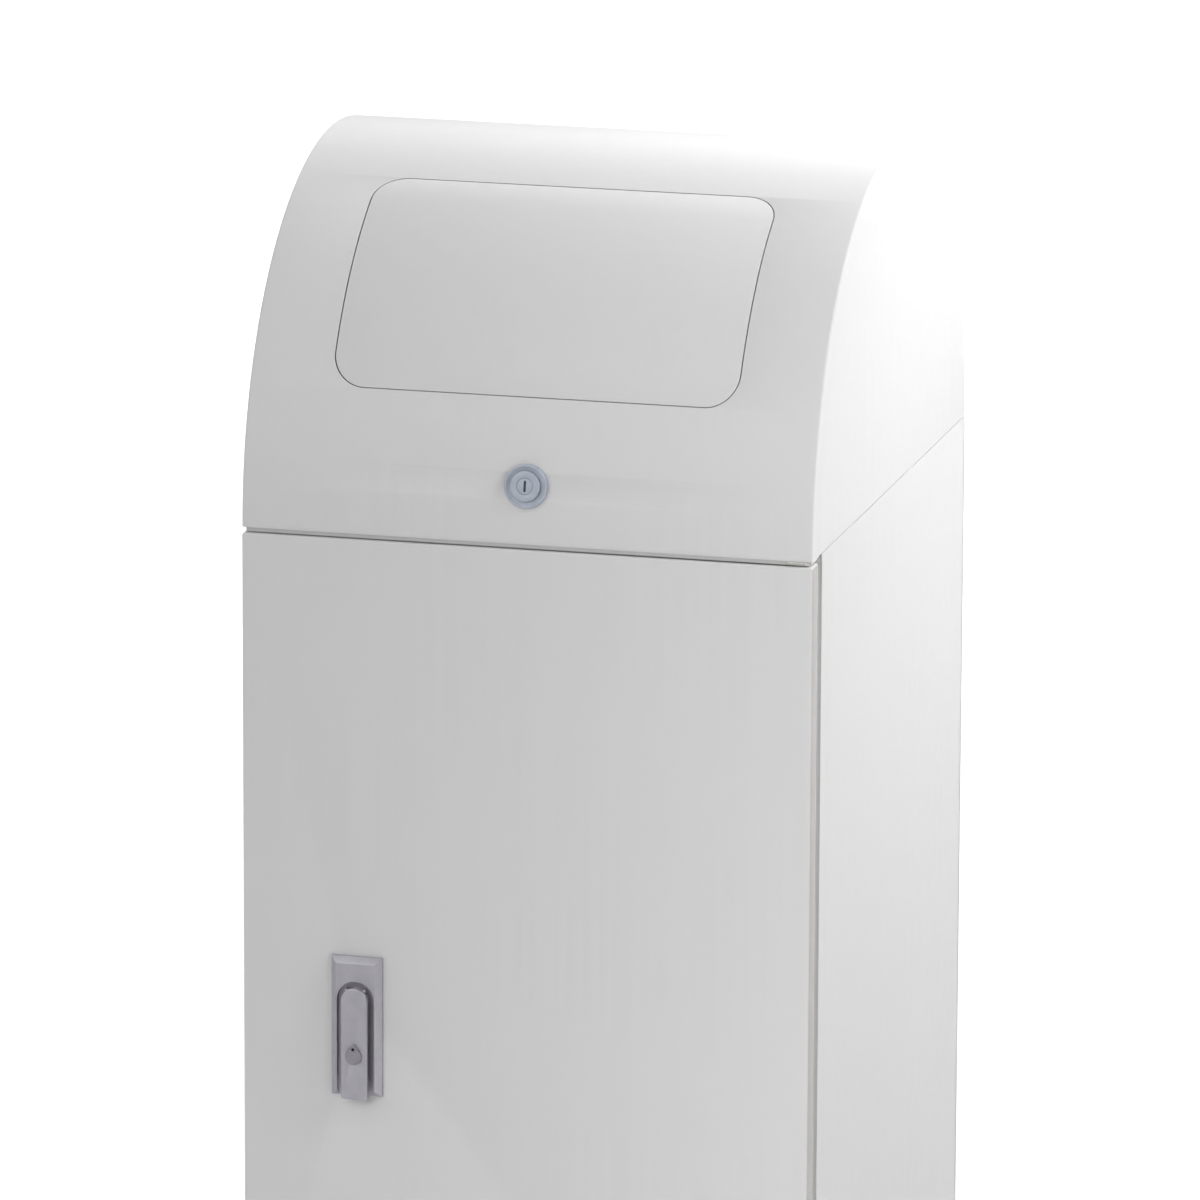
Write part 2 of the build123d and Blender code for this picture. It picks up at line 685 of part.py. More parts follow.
# ================================================================ drop flap
flap_width = opening_width - 2 * flap_gap
flap_axis_angle = flap_top - degrees(flap_axis_drop / hood_radius)
flap_axis_radius = hood_radius - flap_axis_depth
flap_axis_y = -flap_axis_radius * cos(radians(flap_axis_angle))
flap_axis_z = flap_axis_radius * sin(radians(flap_axis_angle))
with BuildPart() as flap_panel:
    with BuildSketch(hood_section):
        Circle(hood_radius)
        Circle(inner_radius, mode=Mode.SUBTRACT)
    extrude(amount=half_width, both=True)
    with BuildSketch(angle_plane(flap_mid, hood_radius * 0.8)):
        RectangleRounded(flap_width, opening_chord - 2 * flap_gap, flap_corner - flap_gap)
    extrude(amount=hood_radius * 0.4, mode=Mode.INTERSECT)
flap_panel.part.label = "flap_panel"
export_step(flap_panel.part, "parts/flap_panel.step")


def arc_band(inner, outer, low, high, x=0):
    """Sketch a band between two radii and two angles above the front horizontal, at x."""
    with BuildSketch(hood_section.offset(x)) as band:
        with BuildLine():
            outer_arc = CenterArc((0, 0), outer, 180 - high, high - low)
            inner_arc = CenterArc((0, 0), inner, 180 - high, high - low)
            Line(outer_arc @ 0, inner_arc @ 0)
            Line(outer_arc @ 1, inner_arc @ 1)
        make_face()
    return band.sketch


# Stop strip: fixed inside the flap's lower edge, its lower part rests behind the hood skin.
strip_thickness = 1.5
strip_width = flap_width - 2 * flap_corner
strip_low = flap_bottom - degrees(10 / hood_radius)
strip_high = flap_bottom + degrees(16 / hood_radius)
with BuildPart() as flap_stop:
    tab = arc_band(inner_radius - strip_thickness, inner_radius - seal_gap, strip_low, strip_high)
    extrude(tab, amount=strip_width / 2, both=True)
    pad = arc_band(inner_radius - strip_thickness, inner_radius, flap_bottom + 1.5, strip_high)
    extrude(pad, amount=strip_width / 2, both=True)
flap_stop.part.label = "flap_stop"
export_step(flap_stop.part, "parts/flap_stop.step")

# Ribs: two curved stiffeners inside the flap.
rib_depth = 9.0
with BuildPart() as flap_ribs:
    for x in (-flap_width / 4, flap_width / 4):
        rib = arc_band(inner_radius - rib_depth, inner_radius, flap_bottom + 8, flap_top - 6, x)
        extrude(rib, amount=2, both=True)
flap_ribs.part.label = "flap_ribs"
export_step(flap_ribs.part, "parts/flap_ribs.step")

# Knuckles: three bored blocks under the flap's top edge, on one pin.
knuckle_length = 30.0
knuckle_places = (-flap_width / 2 + 30, 0, flap_width / 2 - 30)
flap_axis_local = (flap_axis_y, flap_axis_z)
with BuildPart() as flap_knuckles:
    for x in knuckle_places:
        with BuildSketch(hood_section.offset(x)):
            with Locations(flap_axis_local):
                Circle(flap_knuckle_radius)
            with Locations(Location((flap_axis_y, flap_axis_z, 0), (0, 0, -flap_axis_angle))):
                with Locations((-flap_axis_depth / 2, 0)):
                    Rectangle(flap_axis_depth, 1.6 * flap_knuckle_radius)
            Circle(inner_radius, mode=Mode.INTERSECT)
            with Locations(flap_axis_local):
                Circle(flap_pin_radius + running, mode=Mode.SUBTRACT)
        extrude(amount=knuckle_length / 2, both=True)
flap_knuckles.part.label = "flap_knuckles"
export_step(flap_knuckles.part, "parts/flap_knuckles.step")

bracket_gap = 4.0              # flap brackets outside the opening
bracket_sheet = 3.0
bracket_start = opening_width / 2 + bracket_gap
with BuildPart() as flap_brackets:
    for start in (-bracket_start - bracket_sheet, bracket_start):
        with BuildSketch(hood_section.offset(start)):
            with Locations(Location((flap_axis_y, flap_axis_z, 0), (0, 0, -flap_axis_angle))):
                Rectangle(2 * flap_axis_depth + 2, 22)
            Circle(inner_radius, mode=Mode.INTERSECT)
            with Locations(flap_axis_local):
                Circle(flap_pin_radius, mode=Mode.SUBTRACT)
        extrude(amount=bracket_sheet)
flap_brackets.part.label = "flap_brackets"
export_step(flap_brackets.part, "parts/flap_brackets.step")

with BuildPart() as flap_pin:
    with BuildSketch(hood_section):
        with Locations(flap_axis_local):
            Circle(flap_pin_radius)
    extrude(amount=bracket_start + bracket_sheet + 3, both=True)
    chamfer(flap_pin.edges().filter_by(GeomType.CIRCLE), length=0.6)
flap_pin.part.label = "flap_pin"
export_step(flap_pin.part, "parts/flap_pin.step")

# Return springs: close-wound coils on the pin, drawn as turned sleeves with one bead per turn.
spring_turns = 12
wire = 1.4
spring_radius = flap_pin_radius + 0.3
spring_axis = Axis((0, flap_axis_y, split + flap_axis_z), (1, 0, 0))
spring_length = spring_turns * wire
spring_place = knuckle_places[-1] / 2
with BuildPart() as flap_springs:
    for x in (-spring_place, spring_place):
        with BuildSketch(Plane(origin=(x, flap_axis_y, split + flap_axis_z), x_dir=(1, 0, 0), z_dir=(0, -1, 0))):
            with Locations((0, spring_radius + wire / 4)):
                Rectangle(spring_length, wire / 2)
            with Locations((0, spring_radius + wire / 2)):
                with GridLocations(wire, 0, spring_turns, 1):
                    Circle(wire * 0.49)
            with Locations((0, spring_radius / 2)):
                Rectangle(spring_length + 2, spring_radius, mode=Mode.SUBTRACT)
        revolve(axis=spring_axis)
flap_springs.part.label = "flap_springs"
export_step(flap_springs.part, "parts/flap_springs.step")

# ================================================================ hood lock
with BuildPart() as lock_rose:
    with BuildSketch(lock_plane.offset(-1)):
        Circle(lock_rose_radius)
    extrude(amount=lock_rose_height + 1)
    chamfer(lock_rose.faces().sort_by(Axis.Y)[0].edges(), length=0.9)
    with BuildSketch(lock_plane.offset(-2)):
        Circle(lock_barrel_radius)
    extrude(amount=lock_rose_height + 4, mode=Mode.SUBTRACT)
    with BuildSketch(hood_section):
        Circle(hood_radius)
    extrude(amount=lock_rose_radius + 2, both=True, mode=Mode.SUBTRACT)
lock_rose.part.label = "lock_rose"
export_step(lock_rose.part, "parts/lock_rose.step")

with BuildPart() as lock_barrel:
    with BuildSketch(lock_plane.offset(lock_rose_height)):
        Circle(lock_head_radius)
    extrude(amount=lock_head_height)
    chamfer(lock_barrel.faces().sort_by(Axis.Y)[0].edges(), length=0.7)
    with BuildSketch(lock_plane.offset(lock_rose_height)):
        Circle(lock_barrel_radius)
    extrude(amount=-(lock_reach + lock_rose_height - 0.3))
    with BuildSketch(lock_plane.offset(lock_rose_height + lock_head_height)):
        Circle(plug_radius + running)
    extrude(amount=-(lock_reach + lock_rose_height + lock_head_height), mode=Mode.SUBTRACT)
lock_barrel.part.label = "lock_barrel"
export_step(lock_barrel.part, "parts/lock_barrel.step")

nut_gap = 0.7                  # the flat nut stands off the curved skin by this much
with BuildPart() as lock_nut:
    with BuildSketch(lock_plane.offset(-sheet - nut_gap)):
        RegularPolygon(14, 6)
        Circle(lock_barrel_radius, mode=Mode.SUBTRACT)
    extrude(amount=-6)
lock_nut.part.label = "lock_nut"
export_step(lock_nut.part, "parts/lock_nut.step")

plug_front = lock_rose_height + lock_head_height - 0.3
with BuildPart() as lock_plug:
    with BuildSketch(lock_plane.offset(plug_front)):
        Circle(plug_radius)
    extrude(amount=-(plug_front + lock_reach))
    with BuildSketch(lock_plane.offset(-lock_reach)):
        Rectangle(7, 7)
    extrude(amount=-cam_thickness)
    with BuildSketch(lock_plane.offset(plug_front)):
        Rectangle(key_slot[0], key_slot[1])
    extrude(amount=-key_slot[2], mode=Mode.SUBTRACT)
lock_plug.part.label = "lock_plug"
export_step(lock_plug.part, "parts/lock_plug.step")

# Lock cam: hangs down at rest and turns to the right, in under the keeper's ledge.
with BuildPart() as lock_cam:
    with BuildSketch(lock_plane.offset(-lock_reach)):
        Circle(cam_width / 2)
        with Locations((0, -(lock_cam_length - 4) / 2)):
            Rectangle(cam_width, lock_cam_length - 4)
        with Locations((0, -(lock_cam_length - cam_width / 2))):
            RectangleRounded(cam_width, cam_width, 4)
        Rectangle(7, 7, mode=Mode.SUBTRACT)
    extrude(amount=-cam_thickness)
lock_cam.part.label = "lock_cam"
export_step(lock_cam.part, "parts/lock_cam.step")

with BuildPart() as cam_screw:
    with BuildSketch(lock_plane.offset(-lock_reach - cam_thickness)):
        RegularPolygon(6.5, 6)
    extrude(amount=-4)
cam_screw.part.label = "cam_screw"
export_step(cam_screw.part, "parts/cam_screw.step")

# ================================================================ rear hinge
hinge_length = width - 2 * hinge_inset
knuckle_pitch = hinge_length / hinge_count
knuckle_gap = 0.6
hinge_y = half_depth + barrel_offset
leaf_gap = 4.4                 # leaf edges above and below the hinge axis
fixed_places = [(i - hinge_count // 2) * knuckle_pitch for i in range(0, hinge_count, 2)]
moving_places = [(i - hinge_count // 2) * knuckle_pitch for i in range(1, hinge_count, 2)]

with BuildPart() as hinge_fixed_leaf:
    with BuildSketch(facing(half_depth + sheet)):
        with Locations((0, split - leaf_gap - leaf_height / 2)):
            Rectangle(hinge_length, leaf_height)
    extrude(amount=sheet)
    for x in fixed_places:
        with BuildSketch(hood_section.offset(x)):
            with Locations((hinge_y, 0)):
                Circle(barrel_radius)
            with Locations((half_depth + sheet, -1 - leaf_gap / 2)):
                Rectangle(2 * sheet, leaf_gap)
            with Locations((hinge_y, 0)):
                Circle(hinge_pin_radius, mode=Mode.SUBTRACT)
        extrude(amount=(knuckle_pitch - knuckle_gap) / 2, both=True)
hinge_fixed_leaf.part.label = "hinge_fixed_leaf"
export_step(hinge_fixed_leaf.part, "parts/hinge_fixed_leaf.step")

leaf_start = degrees(leaf_gap / hood_radius)
leaf_arc = degrees(leaf_height / hood_radius)
with BuildPart() as hinge_moving_leaf:
    with BuildSketch(hood_section):
        with BuildLine():
            outer_arc = CenterArc((0, 0), hood_radius + sheet, leaf_start, leaf_arc)
            inner_arc = CenterArc((0, 0), hood_radius, leaf_start, leaf_arc)
            Line(outer_arc @ 0, inner_arc @ 0)
            Line(outer_arc @ 1, inner_arc @ 1)
        make_face()
    extrude(amount=hinge_length / 2, both=True)
    for x in moving_places:
        with BuildSketch(hood_section.offset(x)):
            with Locations((hinge_y, 0)):
                Circle(barrel_radius)
            with Locations((half_depth + sheet, 1 + leaf_gap / 2)):
                Rectangle(2 * sheet, leaf_gap)
            with Locations((hinge_y, 0)):
                Circle(hinge_pin_radius + running, mode=Mode.SUBTRACT)
        extrude(amount=(knuckle_pitch - knuckle_gap) / 2, both=True)
hinge_moving_leaf.part.label = "hinge_moving_leaf"
export_step(hinge_moving_leaf.part, "parts/hinge_moving_leaf.step")

with BuildPart() as hinge_pin:
    with BuildSketch(hood_section):
        with Locations((hinge_y, 0)):
            Circle(hinge_pin_radius)
    extrude(amount=hinge_length / 2 + 1, both=True)
    chamfer(hinge_pin.edges().filter_by(GeomType.CIRCLE), length=0.5)
hinge_pin.part.label = "hinge_pin"
export_step(hinge_pin.part, "parts/hinge_pin.step")

with BuildPart() as hinge_screws:
    with BuildSketch(facing(half_depth + sheet)):
        with Locations((0, split - leaf_gap - leaf_height / 2 - 4)):
            with GridLocations(hinge_length / 5, 0, 5, 1):
                Circle(4)
    extrude(amount=-2.2)
    fillet(hinge_screws.faces().group_by(Axis.Y)[-1].edges(), radius=1.4)
hinge_screws.part.label = "hinge_screws"
export_step(hinge_screws.part, "parts/hinge_screws.step")

# ================================================================ prop rod
prop_x = half_width - prop_inset
prop_y = door_face + prop_pivot_inset
prop_end = half_depth - prop_end_inset
prop_z = split - prop_drop
prop_plate = inside - top_rail + 1     # bracket plate's inner face
eye_radius = 7.0
with BuildPart() as prop_rod:
    with BuildSketch(Plane.YZ.offset(prop_x)):
        with Locations((prop_y, prop_z)):
            Circle(eye_radius)
    extrude(amount=prop_radius, both=True)
    with BuildSketch(facing(prop_y)):
        with Locations((prop_x, prop_z)):
            Circle(prop_radius)
    extrude(amount=-(prop_end - prop_y))
    with BuildSketch(Plane.YZ.offset(prop_x)):
        with Locations((prop_end - prop_radius, prop_z)):
            Circle(prop_radius - 0.2)
    extrude(amount=prop_radius + 4)
    with BuildSketch(Plane.YZ.offset(prop_x)):
        with Locations((prop_y, prop_z)):
            Circle(prop_pin_radius + running)
    extrude(amount=2 * prop_radius, both=True, mode=Mode.SUBTRACT)
prop_rod.part.label = "prop_rod"
export_step(prop_rod.part, "parts/prop_rod.step")

with BuildPart() as prop_bracket:
    with BuildSketch(Plane.YZ.offset(prop_plate)):
        with Locations((prop_y, (rail_bottom + prop_z - 8) / 2)):
            Rectangle(24, rail_bottom - prop_z + 8)
        with Locations((prop_y, prop_z)):
            Circle(prop_pin_radius, mode=Mode.SUBTRACT)
    extrude(amount=3)
prop_bracket.part.label = "prop_bracket"
export_step(prop_bracket.part, "parts/prop_bracket.step")

with BuildPart() as prop_pin:
    with BuildSketch(Plane.YZ.offset(prop_plate + 3)):
        with Locations((prop_y, prop_z)):
            Circle(prop_pin_radius)
    extrude(amount=-(prop_plate + 3 - prop_x + prop_radius + 0.4))
    with BuildSketch(Plane.YZ.offset(prop_x - prop_radius - 0.4)):
        with Locations((prop_y, prop_z)):
            Circle(prop_pin_radius + 2)
    extrude(amount=-2)
prop_pin.part.label = "prop_pin"
export_step(prop_pin.part, "parts/prop_pin.step")

# Clip: a shelf on the right side panel with a lip, under the folded rod.
with BuildPart() as prop_clip:
    with BuildSketch(facing(prop_end - 60)):
        with BuildLine():
            FilletPolyline(
                (inside, prop_z - prop_radius - seal_gap),
                (prop_x - prop_radius - 1.5, prop_z - prop_radius - seal_gap),
                (prop_x - prop_radius - 1.5, prop_z + 2),
                radius=1,
            )
            offset(amount=2, side=Side.LEFT)
        make_face()
    extrude(amount=14)
prop_clip.part.label = "prop_clip"
export_step(prop_clip.part, "parts/prop_clip.step")

catch_y = -0.106 * hood_radius
with BuildPart() as prop_catch:
    with BuildSketch(Plane.YZ.offset(rim_x - top_rail - 1.6)):
        with Locations((catch_y, split + sheet + 5)):
            Rectangle(22, 10)
        with Locations((catch_y, split + sheet + 10)):
            Circle(prop_radius + 0.5, mode=Mode.SUBTRACT)
    extrude(amount=1.6)
prop_catch.part.label = "prop_catch"
export_step(prop_catch.part, "parts/prop_catch.step")
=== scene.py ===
import json
import logging
from dataclasses import dataclass
from enum import Enum
from math import atan2, cos, pi, radians, sin
from typing import Callable

import bmesh
import bpy
from mathutils import Matrix, Vector

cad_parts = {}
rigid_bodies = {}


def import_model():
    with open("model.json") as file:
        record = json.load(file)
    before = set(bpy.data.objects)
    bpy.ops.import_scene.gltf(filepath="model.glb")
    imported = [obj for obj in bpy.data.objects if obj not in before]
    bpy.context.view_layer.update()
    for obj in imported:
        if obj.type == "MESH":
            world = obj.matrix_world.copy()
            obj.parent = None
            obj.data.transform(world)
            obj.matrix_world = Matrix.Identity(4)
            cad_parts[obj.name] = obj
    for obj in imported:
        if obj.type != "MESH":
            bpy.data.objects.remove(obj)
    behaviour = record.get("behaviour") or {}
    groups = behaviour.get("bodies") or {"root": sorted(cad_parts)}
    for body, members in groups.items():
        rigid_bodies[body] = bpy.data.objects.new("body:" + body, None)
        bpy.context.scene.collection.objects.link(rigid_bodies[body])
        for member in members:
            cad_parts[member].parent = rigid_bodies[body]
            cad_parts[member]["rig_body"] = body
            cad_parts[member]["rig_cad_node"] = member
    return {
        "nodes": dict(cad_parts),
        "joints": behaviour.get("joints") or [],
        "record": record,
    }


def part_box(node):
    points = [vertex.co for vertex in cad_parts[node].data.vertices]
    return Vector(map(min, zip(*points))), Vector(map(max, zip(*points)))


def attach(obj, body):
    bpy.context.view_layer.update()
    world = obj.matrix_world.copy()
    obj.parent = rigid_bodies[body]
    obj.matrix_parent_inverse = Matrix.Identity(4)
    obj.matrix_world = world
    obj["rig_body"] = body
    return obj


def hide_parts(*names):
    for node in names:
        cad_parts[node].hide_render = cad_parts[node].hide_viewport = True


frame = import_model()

"""A steel parcel locker: barrel hood with a push-in flap, full-width door, swing handle.

Metres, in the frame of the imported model: X right, -Y front, +Z up. Each sub-assembly is a
class. The pieces that carry the look are modelled here and stand for their CAD nodes; the
rest are merged, edge-rounded copies of the CAD nodes.
"""

LOG = logging.getLogger("parcel_locker")
MM = 0.001
Piece = bpy.types.Object
Colour = tuple[float, float, float]
Test = Callable[[Vector, Vector], bool]


# ---------------------------------------------------------------------------- the bench
class Mode(Enum):
    """How one solid is combined with another."""

    CUT = "DIFFERENCE"
    KEEP = "INTERSECT"
    JOIN = "UNION"


class Pick(Enum):
    """What kind of mesh element is picked."""

    FACE = "FACE"
    EDGE = "EDGE"


@dataclass(frozen=True)
class Zone:
    """A box in the row frame."""

    low: Vector
    high: Vector

    @staticmethod
    def of(node: str) -> "Zone":
        """The box of a CAD node at rest."""
        low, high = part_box(node)
        return Zone(low, high)

    @property
    def mid(self) -> Vector:
        """The box's centre."""
        return (self.low + self.high) / 2

    @property
    def size(self) -> Vector:
        """The box's three sides."""
        return self.high - self.low


class Bench:
    """The moves that every piece is made with."""

    @staticmethod
    def clear() -> None:
        """Leave edit mode and deselect every object."""
        if bpy.context.object and bpy.context.object.mode != "OBJECT":
            bpy.ops.object.mode_set(mode="OBJECT")
        bpy.ops.object.select_all(action="DESELECT")

    @staticmethod
    def take(piece: Piece) -> None:
        """Select one piece and make it active.

        Args:
            piece: the piece to work on.
        """
        Bench.clear()
        piece.select_set(True)
        bpy.context.view_layer.objects.active = piece

    @staticmethod
    def settle(name: str) -> Piece:
        """Name the new primitive and put its place into its mesh.

        Args:
            name: the piece's name.

        Returns:
            The primitive, its object at the origin.
        """
        piece = bpy.context.object
        piece.name = name
        piece.data.name = name
        bpy.ops.object.transform_apply(location=True, rotation=True, scale=True)
        return piece

    @staticmethod
    def block(name: str, low: Vector, high: Vector) -> Piece:
        """Add a box between two corners.

        Args:
            name: the piece's name.
            low: lowest corner.
            high: highest corner.

        Returns:
            The new piece.
        """
        Bench.clear()
        low, high = Vector(low), Vector(high)
        bpy.ops.mesh.primitive_cube_add(size=1, location=(low + high) / 2, scale=high - low)
        return Bench.settle(name)

    @staticmethod
    def disc(name: str, radius: float, low: float, high: float, sides: int = 96) -> Piece:
        """Add a cylinder along local Z.

        Args:
            name: the piece's name.
            radius: its radius.
            low: where it starts along Z.
            high: where it ends along Z.
            sides: how many sides it has.

        Returns:
            The new piece.
        """
        Bench.clear()
        bpy.ops.mesh.primitive_cylinder_add(
            vertices=sides, radius=radius, depth=high - low, location=(0, 0, (low + high) / 2)
        )
        return Bench.settle(name)

    @staticmethod
    def pick(piece: Piece, kind: Pick, test: Test) -> int:
        """Enter edit mode and select the faces or edges that pass a test.

        Args:
            piece: the piece to edit.
            kind: faces or edges.
            test: takes the middle and the normal of a face, or the middle and direction of an edge.

        Returns:
            How many were selected.
        """
        Bench.take(piece)
        bpy.ops.object.mode_set(mode="EDIT")
        bpy.ops.mesh.select_mode(type=kind.value)
        bpy.ops.mesh.select_all(action="DESELECT")
        shape = bmesh.from_edit_mesh(piece.data)
        count = 0
        for item in shape.faces if kind is Pick.FACE else shape.edges:
            if kind is Pick.FACE:
                chosen = test(item.calc_center_median(), item.normal)
            else:
                first, last = (v.co for v in item.verts)
                chosen = test((first + last) / 2, (last - first).normalized())
            item.select_set(chosen)
            count += chosen
        if kind is Pick.EDGE:
            shape.select_flush_mode()
        bmesh.update_edit_mesh(piece.data)
        return count

    @staticmethod
    def pick_all(piece: Piece) -> None:
        """Enter edit mode with the whole piece selected."""
        Bench.take(piece)
        bpy.ops.object.mode_set(mode="EDIT")
        bpy.ops.mesh.select_all(action="SELECT")

    @staticmethod
    def bevel(piece: Piece, test: Test, width: float, segments: int = 3) -> None:
        """Round the edges that pass a test.

        Args:
            piece: the piece to edit.
            test: takes an edge's middle and direction.
            width: how far the rounding reaches from the edge.
            segments: how many facets it has.
        """
        if Bench.pick(piece, Pick.EDGE, test):
            bpy.ops.mesh.bevel(offset=width, segments=segments, affect="EDGES")
        bpy.ops.object.mode_set(mode="OBJECT")

    @staticmethod
    def sink(piece: Piece, test: Test, margin: float, move: Vector) -> None:
        """Inset the faces that pass a test and push the inner faces.

        Args:
            piece: the piece to edit.
            test: takes a face's middle and normal.
            margin: width of the inset.
            move: how the inner faces are moved.
        """
        Bench.pick(piece, Pick.FACE, test)
        bpy.ops.mesh.inset(thickness=margin, depth=0)
        bpy.ops.mesh.extrude_region_move(TRANSFORM_OT_translate={"value": move})
        bpy.ops.object.mode_set(mode="OBJECT")

    @staticmethod
    def half(piece: Piece, point: Vector, normal: Vector, fill: bool = False) -> None:
        """Cut a piece by a plane and keep the side that the normal points to.

        Args:
            piece: the piece to cut.
            point: a point on the plane.
            normal: the plane's normal.
            fill: whether the cut is closed.
        """
        Bench.pick_all(piece)
        bpy.ops.mesh.bisect(plane_co=point, plane_no=normal, clear_inner=True, use_fill=fill)
        bpy.ops.object.mode_set(mode="OBJECT")

    @staticmethod
    def finish_with(piece: Piece, kind: str, **settings: object) -> None:
        """Add one modifier and apply it.

        Args:
            piece: the piece to change.
            kind: the modifier's type.
            settings: the modifier's settings.
        """
        Bench.take(piece)
        modifier = piece.modifiers.new(kind.title(), kind)
        for key, value in settings.items():
            setattr(modifier, key, value)
        bpy.ops.object.modifier_apply(modifier=modifier.name)

    @staticmethod
    def combine(piece: Piece, other: Piece, mode: Mode) -> None:
        """Cut, keep or join with another piece, which is used up.

        Args:
            piece: the piece that stays.
            other: the piece that is used.
            mode: how they are combined.
        """
        Bench.finish_with(piece, "BOOLEAN", object=other, operation=mode.value, solver="EXACT")
        bpy.data.objects.remove(other)

    @staticmethod
    def soften(piece: Piece, width: float, angle: float = 40, segments: int = 2) -> None:
        """Round every sharp edge a little and shade the piece smoothly.

        Args:
            piece: the piece to finish.
            width: width of the rounding.
            angle: an edge sharper than this, in degrees, is rounded.
            segments: facets across the rounding.
        """
        if width:
            Bench.finish_with(
                piece, "BEVEL", width=width, segments=segments, limit_method="ANGLE",
                angle_limit=radians(angle), use_clamp_overlap=True, miter_outer="MITER_ARC",
            )
        Bench.take(piece)
        bpy.ops.object.shade_smooth_by_angle(angle=radians(32))

    @staticmethod
    def place(piece: Piece, matrix: Matrix) -> Piece:
        """Move a piece from its own frame into the row frame, in its mesh."""
        piece.data.transform(matrix)
        piece.data.update()
        return piece

    @staticmethod
    def copy(piece: Piece, name: str, matrix: Matrix) -> Piece:
        """Copy a piece with its own mesh.

        Args:
            piece: the model piece.
            name: the copy's name.
            matrix: where the copy goes.

        Returns:
            The copy.
        """
        twin = piece.copy()
        twin.data = piece.data.copy()
        twin.name = name
        bpy.context.scene.collection.objects.link(twin)
        return Bench.place(twin, matrix)

    @staticmethod
    def join(pieces: list[Piece], name: str) -> Piece:
        """Join pieces into one object.

        Args:
            pieces: what is joined; the first stays.
            name: the result's name.

        Returns:
            The joined piece.
        """
        Bench.take(pieces[0])
        for piece in pieces:
            piece.select_set(True)
        bpy.ops.object.join()
        pieces[0].name = name
        return pieces[0]


def along(origin: Vector, right: Vector, up: Vector) -> Matrix:
    """A frame whose X is right, Y is up and Z points out of the surface.

    Args:
        origin: its origin in the row frame.
        right: its X axis.
        up: its Y axis.

    Returns:
        The matrix from that frame to the row frame.
    """
    right, up = Vector(right).normalized(), Vector(up).normalized()
    out = right.cross(up)
    turned = Matrix((right, up, out)).transposed().to_4x4()
    return Matrix.Translation(origin) @ turned


def joint(name: str) -> dict:
    """The record's joint of that name."""
    return next(j for j in frame["joints"] if j["name"] == name)


def near(value: float, target: float, slack: float = 0.05 * MM) -> bool:
    """Whether two lengths are the same within the slack."""
    return abs(value - target) < slack


# ---------------------------------------------------------------------------- finishes
class NodeDesk:
    """Lays out one material's shader nodes on Object coordinates."""

    def __init__(self, name: str) -> None:
        """Start a material with a plain shader.

        Args:
            name: the material's name.
        """
        self.material = bpy.data.materials.new(name)
        self.material.use_nodes = True
        self.tree = self.material.node_tree
        self.shader = next(n for n in self.tree.nodes if n.type == "BSDF_PRINCIPLED")
        self.coords = self.tree.nodes.new("ShaderNodeTexCoord").outputs["Object"]

    def noise(self, size: float, detail: float = 2, stretch: Colour = (1, 1, 1)) -> bpy.types.NodeSocket:
        """Add noise whose blotches have a real size.

        Args:
            size: size of one blotch, in metres.
            detail: how many finer layers it has.
            stretch: frequency along each axis, as a share.

        Returns:
            The noise's value.
        """
        mapping = self.tree.nodes.new("ShaderNodeMapping")
        mapping.inputs["Scale"].default_value = [s / size for s in stretch]
        texture = self.tree.nodes.new("ShaderNodeTexNoise")
        texture.inputs["Scale"].default_value = 1
        texture.inputs["Detail"].default_value = detail
        self.tree.links.new(self.coords, mapping.inputs["Vector"])
        self.tree.links.new(mapping.outputs["Vector"], texture.inputs["Vector"])
        return texture.outputs["Fac"]

    def spread(self, value: bpy.types.NodeSocket, low: float, high: float) -> bpy.types.NodeSocket:
        """Map the middle of a noise to a range.

        Args:
            value: the noise.
            low: the result where the noise is low.
            high: the result where it is high.

        Returns:
            The mapped value.
        """
        node = self.tree.nodes.new("ShaderNodeMapRange")
        node.inputs["From Min"].default_value = 0.3
        node.inputs["From Max"].default_value = 0.7
        node.inputs["To Min"].default_value = low
        node.inputs["To Max"].default_value = high
        self.tree.links.new(value, node.inputs["Value"])
        return node.outputs["Result"]

    def mix(self, factor: bpy.types.NodeSocket, first: object, second: object) -> bpy.types.NodeSocket:
        """Mix two colours.

        Args:
            factor: 0 for the first, 1 for the second.
            first: a colour or a colour socket.
            second: a colour or a colour socket.

        Returns:
            The mixed colour.
        """
        node = self.tree.nodes.new("ShaderNodeMix")
        node.data_type = "RGBA"
        self.tree.links.new(factor, node.inputs["Factor"])
        for socket, value in ((node.inputs[6], first), (node.inputs[7], second)):
            if isinstance(value, bpy.types.NodeSocket):
                self.tree.links.new(value, socket)
            else:
                socket.default_value = (*value, 1)
        return node.outputs[2]

    def bump(self, height: bpy.types.NodeSocket, depth: float, under: object = None) -> bpy.types.NodeSocket:
        """Turn a height into a bumped normal.

        Args:
            height: the height, 0 to 1.
            depth: what 1 stands for, in metres.
            under: the normal it adds to.

        Returns:
            The normal.
        """
        node = self.tree.nodes.new("ShaderNodeBump")
        node.inputs["Strength"].default_value = 1
        node.inputs["Distance"].default_value = depth
        self.tree.links.new(height, node.inputs["Height"])
        if under is not None:
            self.tree.links.new(under, node.inputs["Normal"])
        return node.outputs["Normal"]

    def feed(self, socket: str, value: bpy.types.NodeSocket) -> None:
        """Link a value that varies over the surface to the shader."""
        self.tree.links.new(value, self.shader.inputs[socket])

    def fix(self, socket: str, value: float) -> None:
        """Set a value that is the same all over on the shader itself."""
        self.shader.inputs[socket].default_value = value


def shaded(tone: Colour, share: float) -> Colour:
    """A darker or lighter version of a colour."""
    return tuple(min(1.0, c * share) for c in tone)


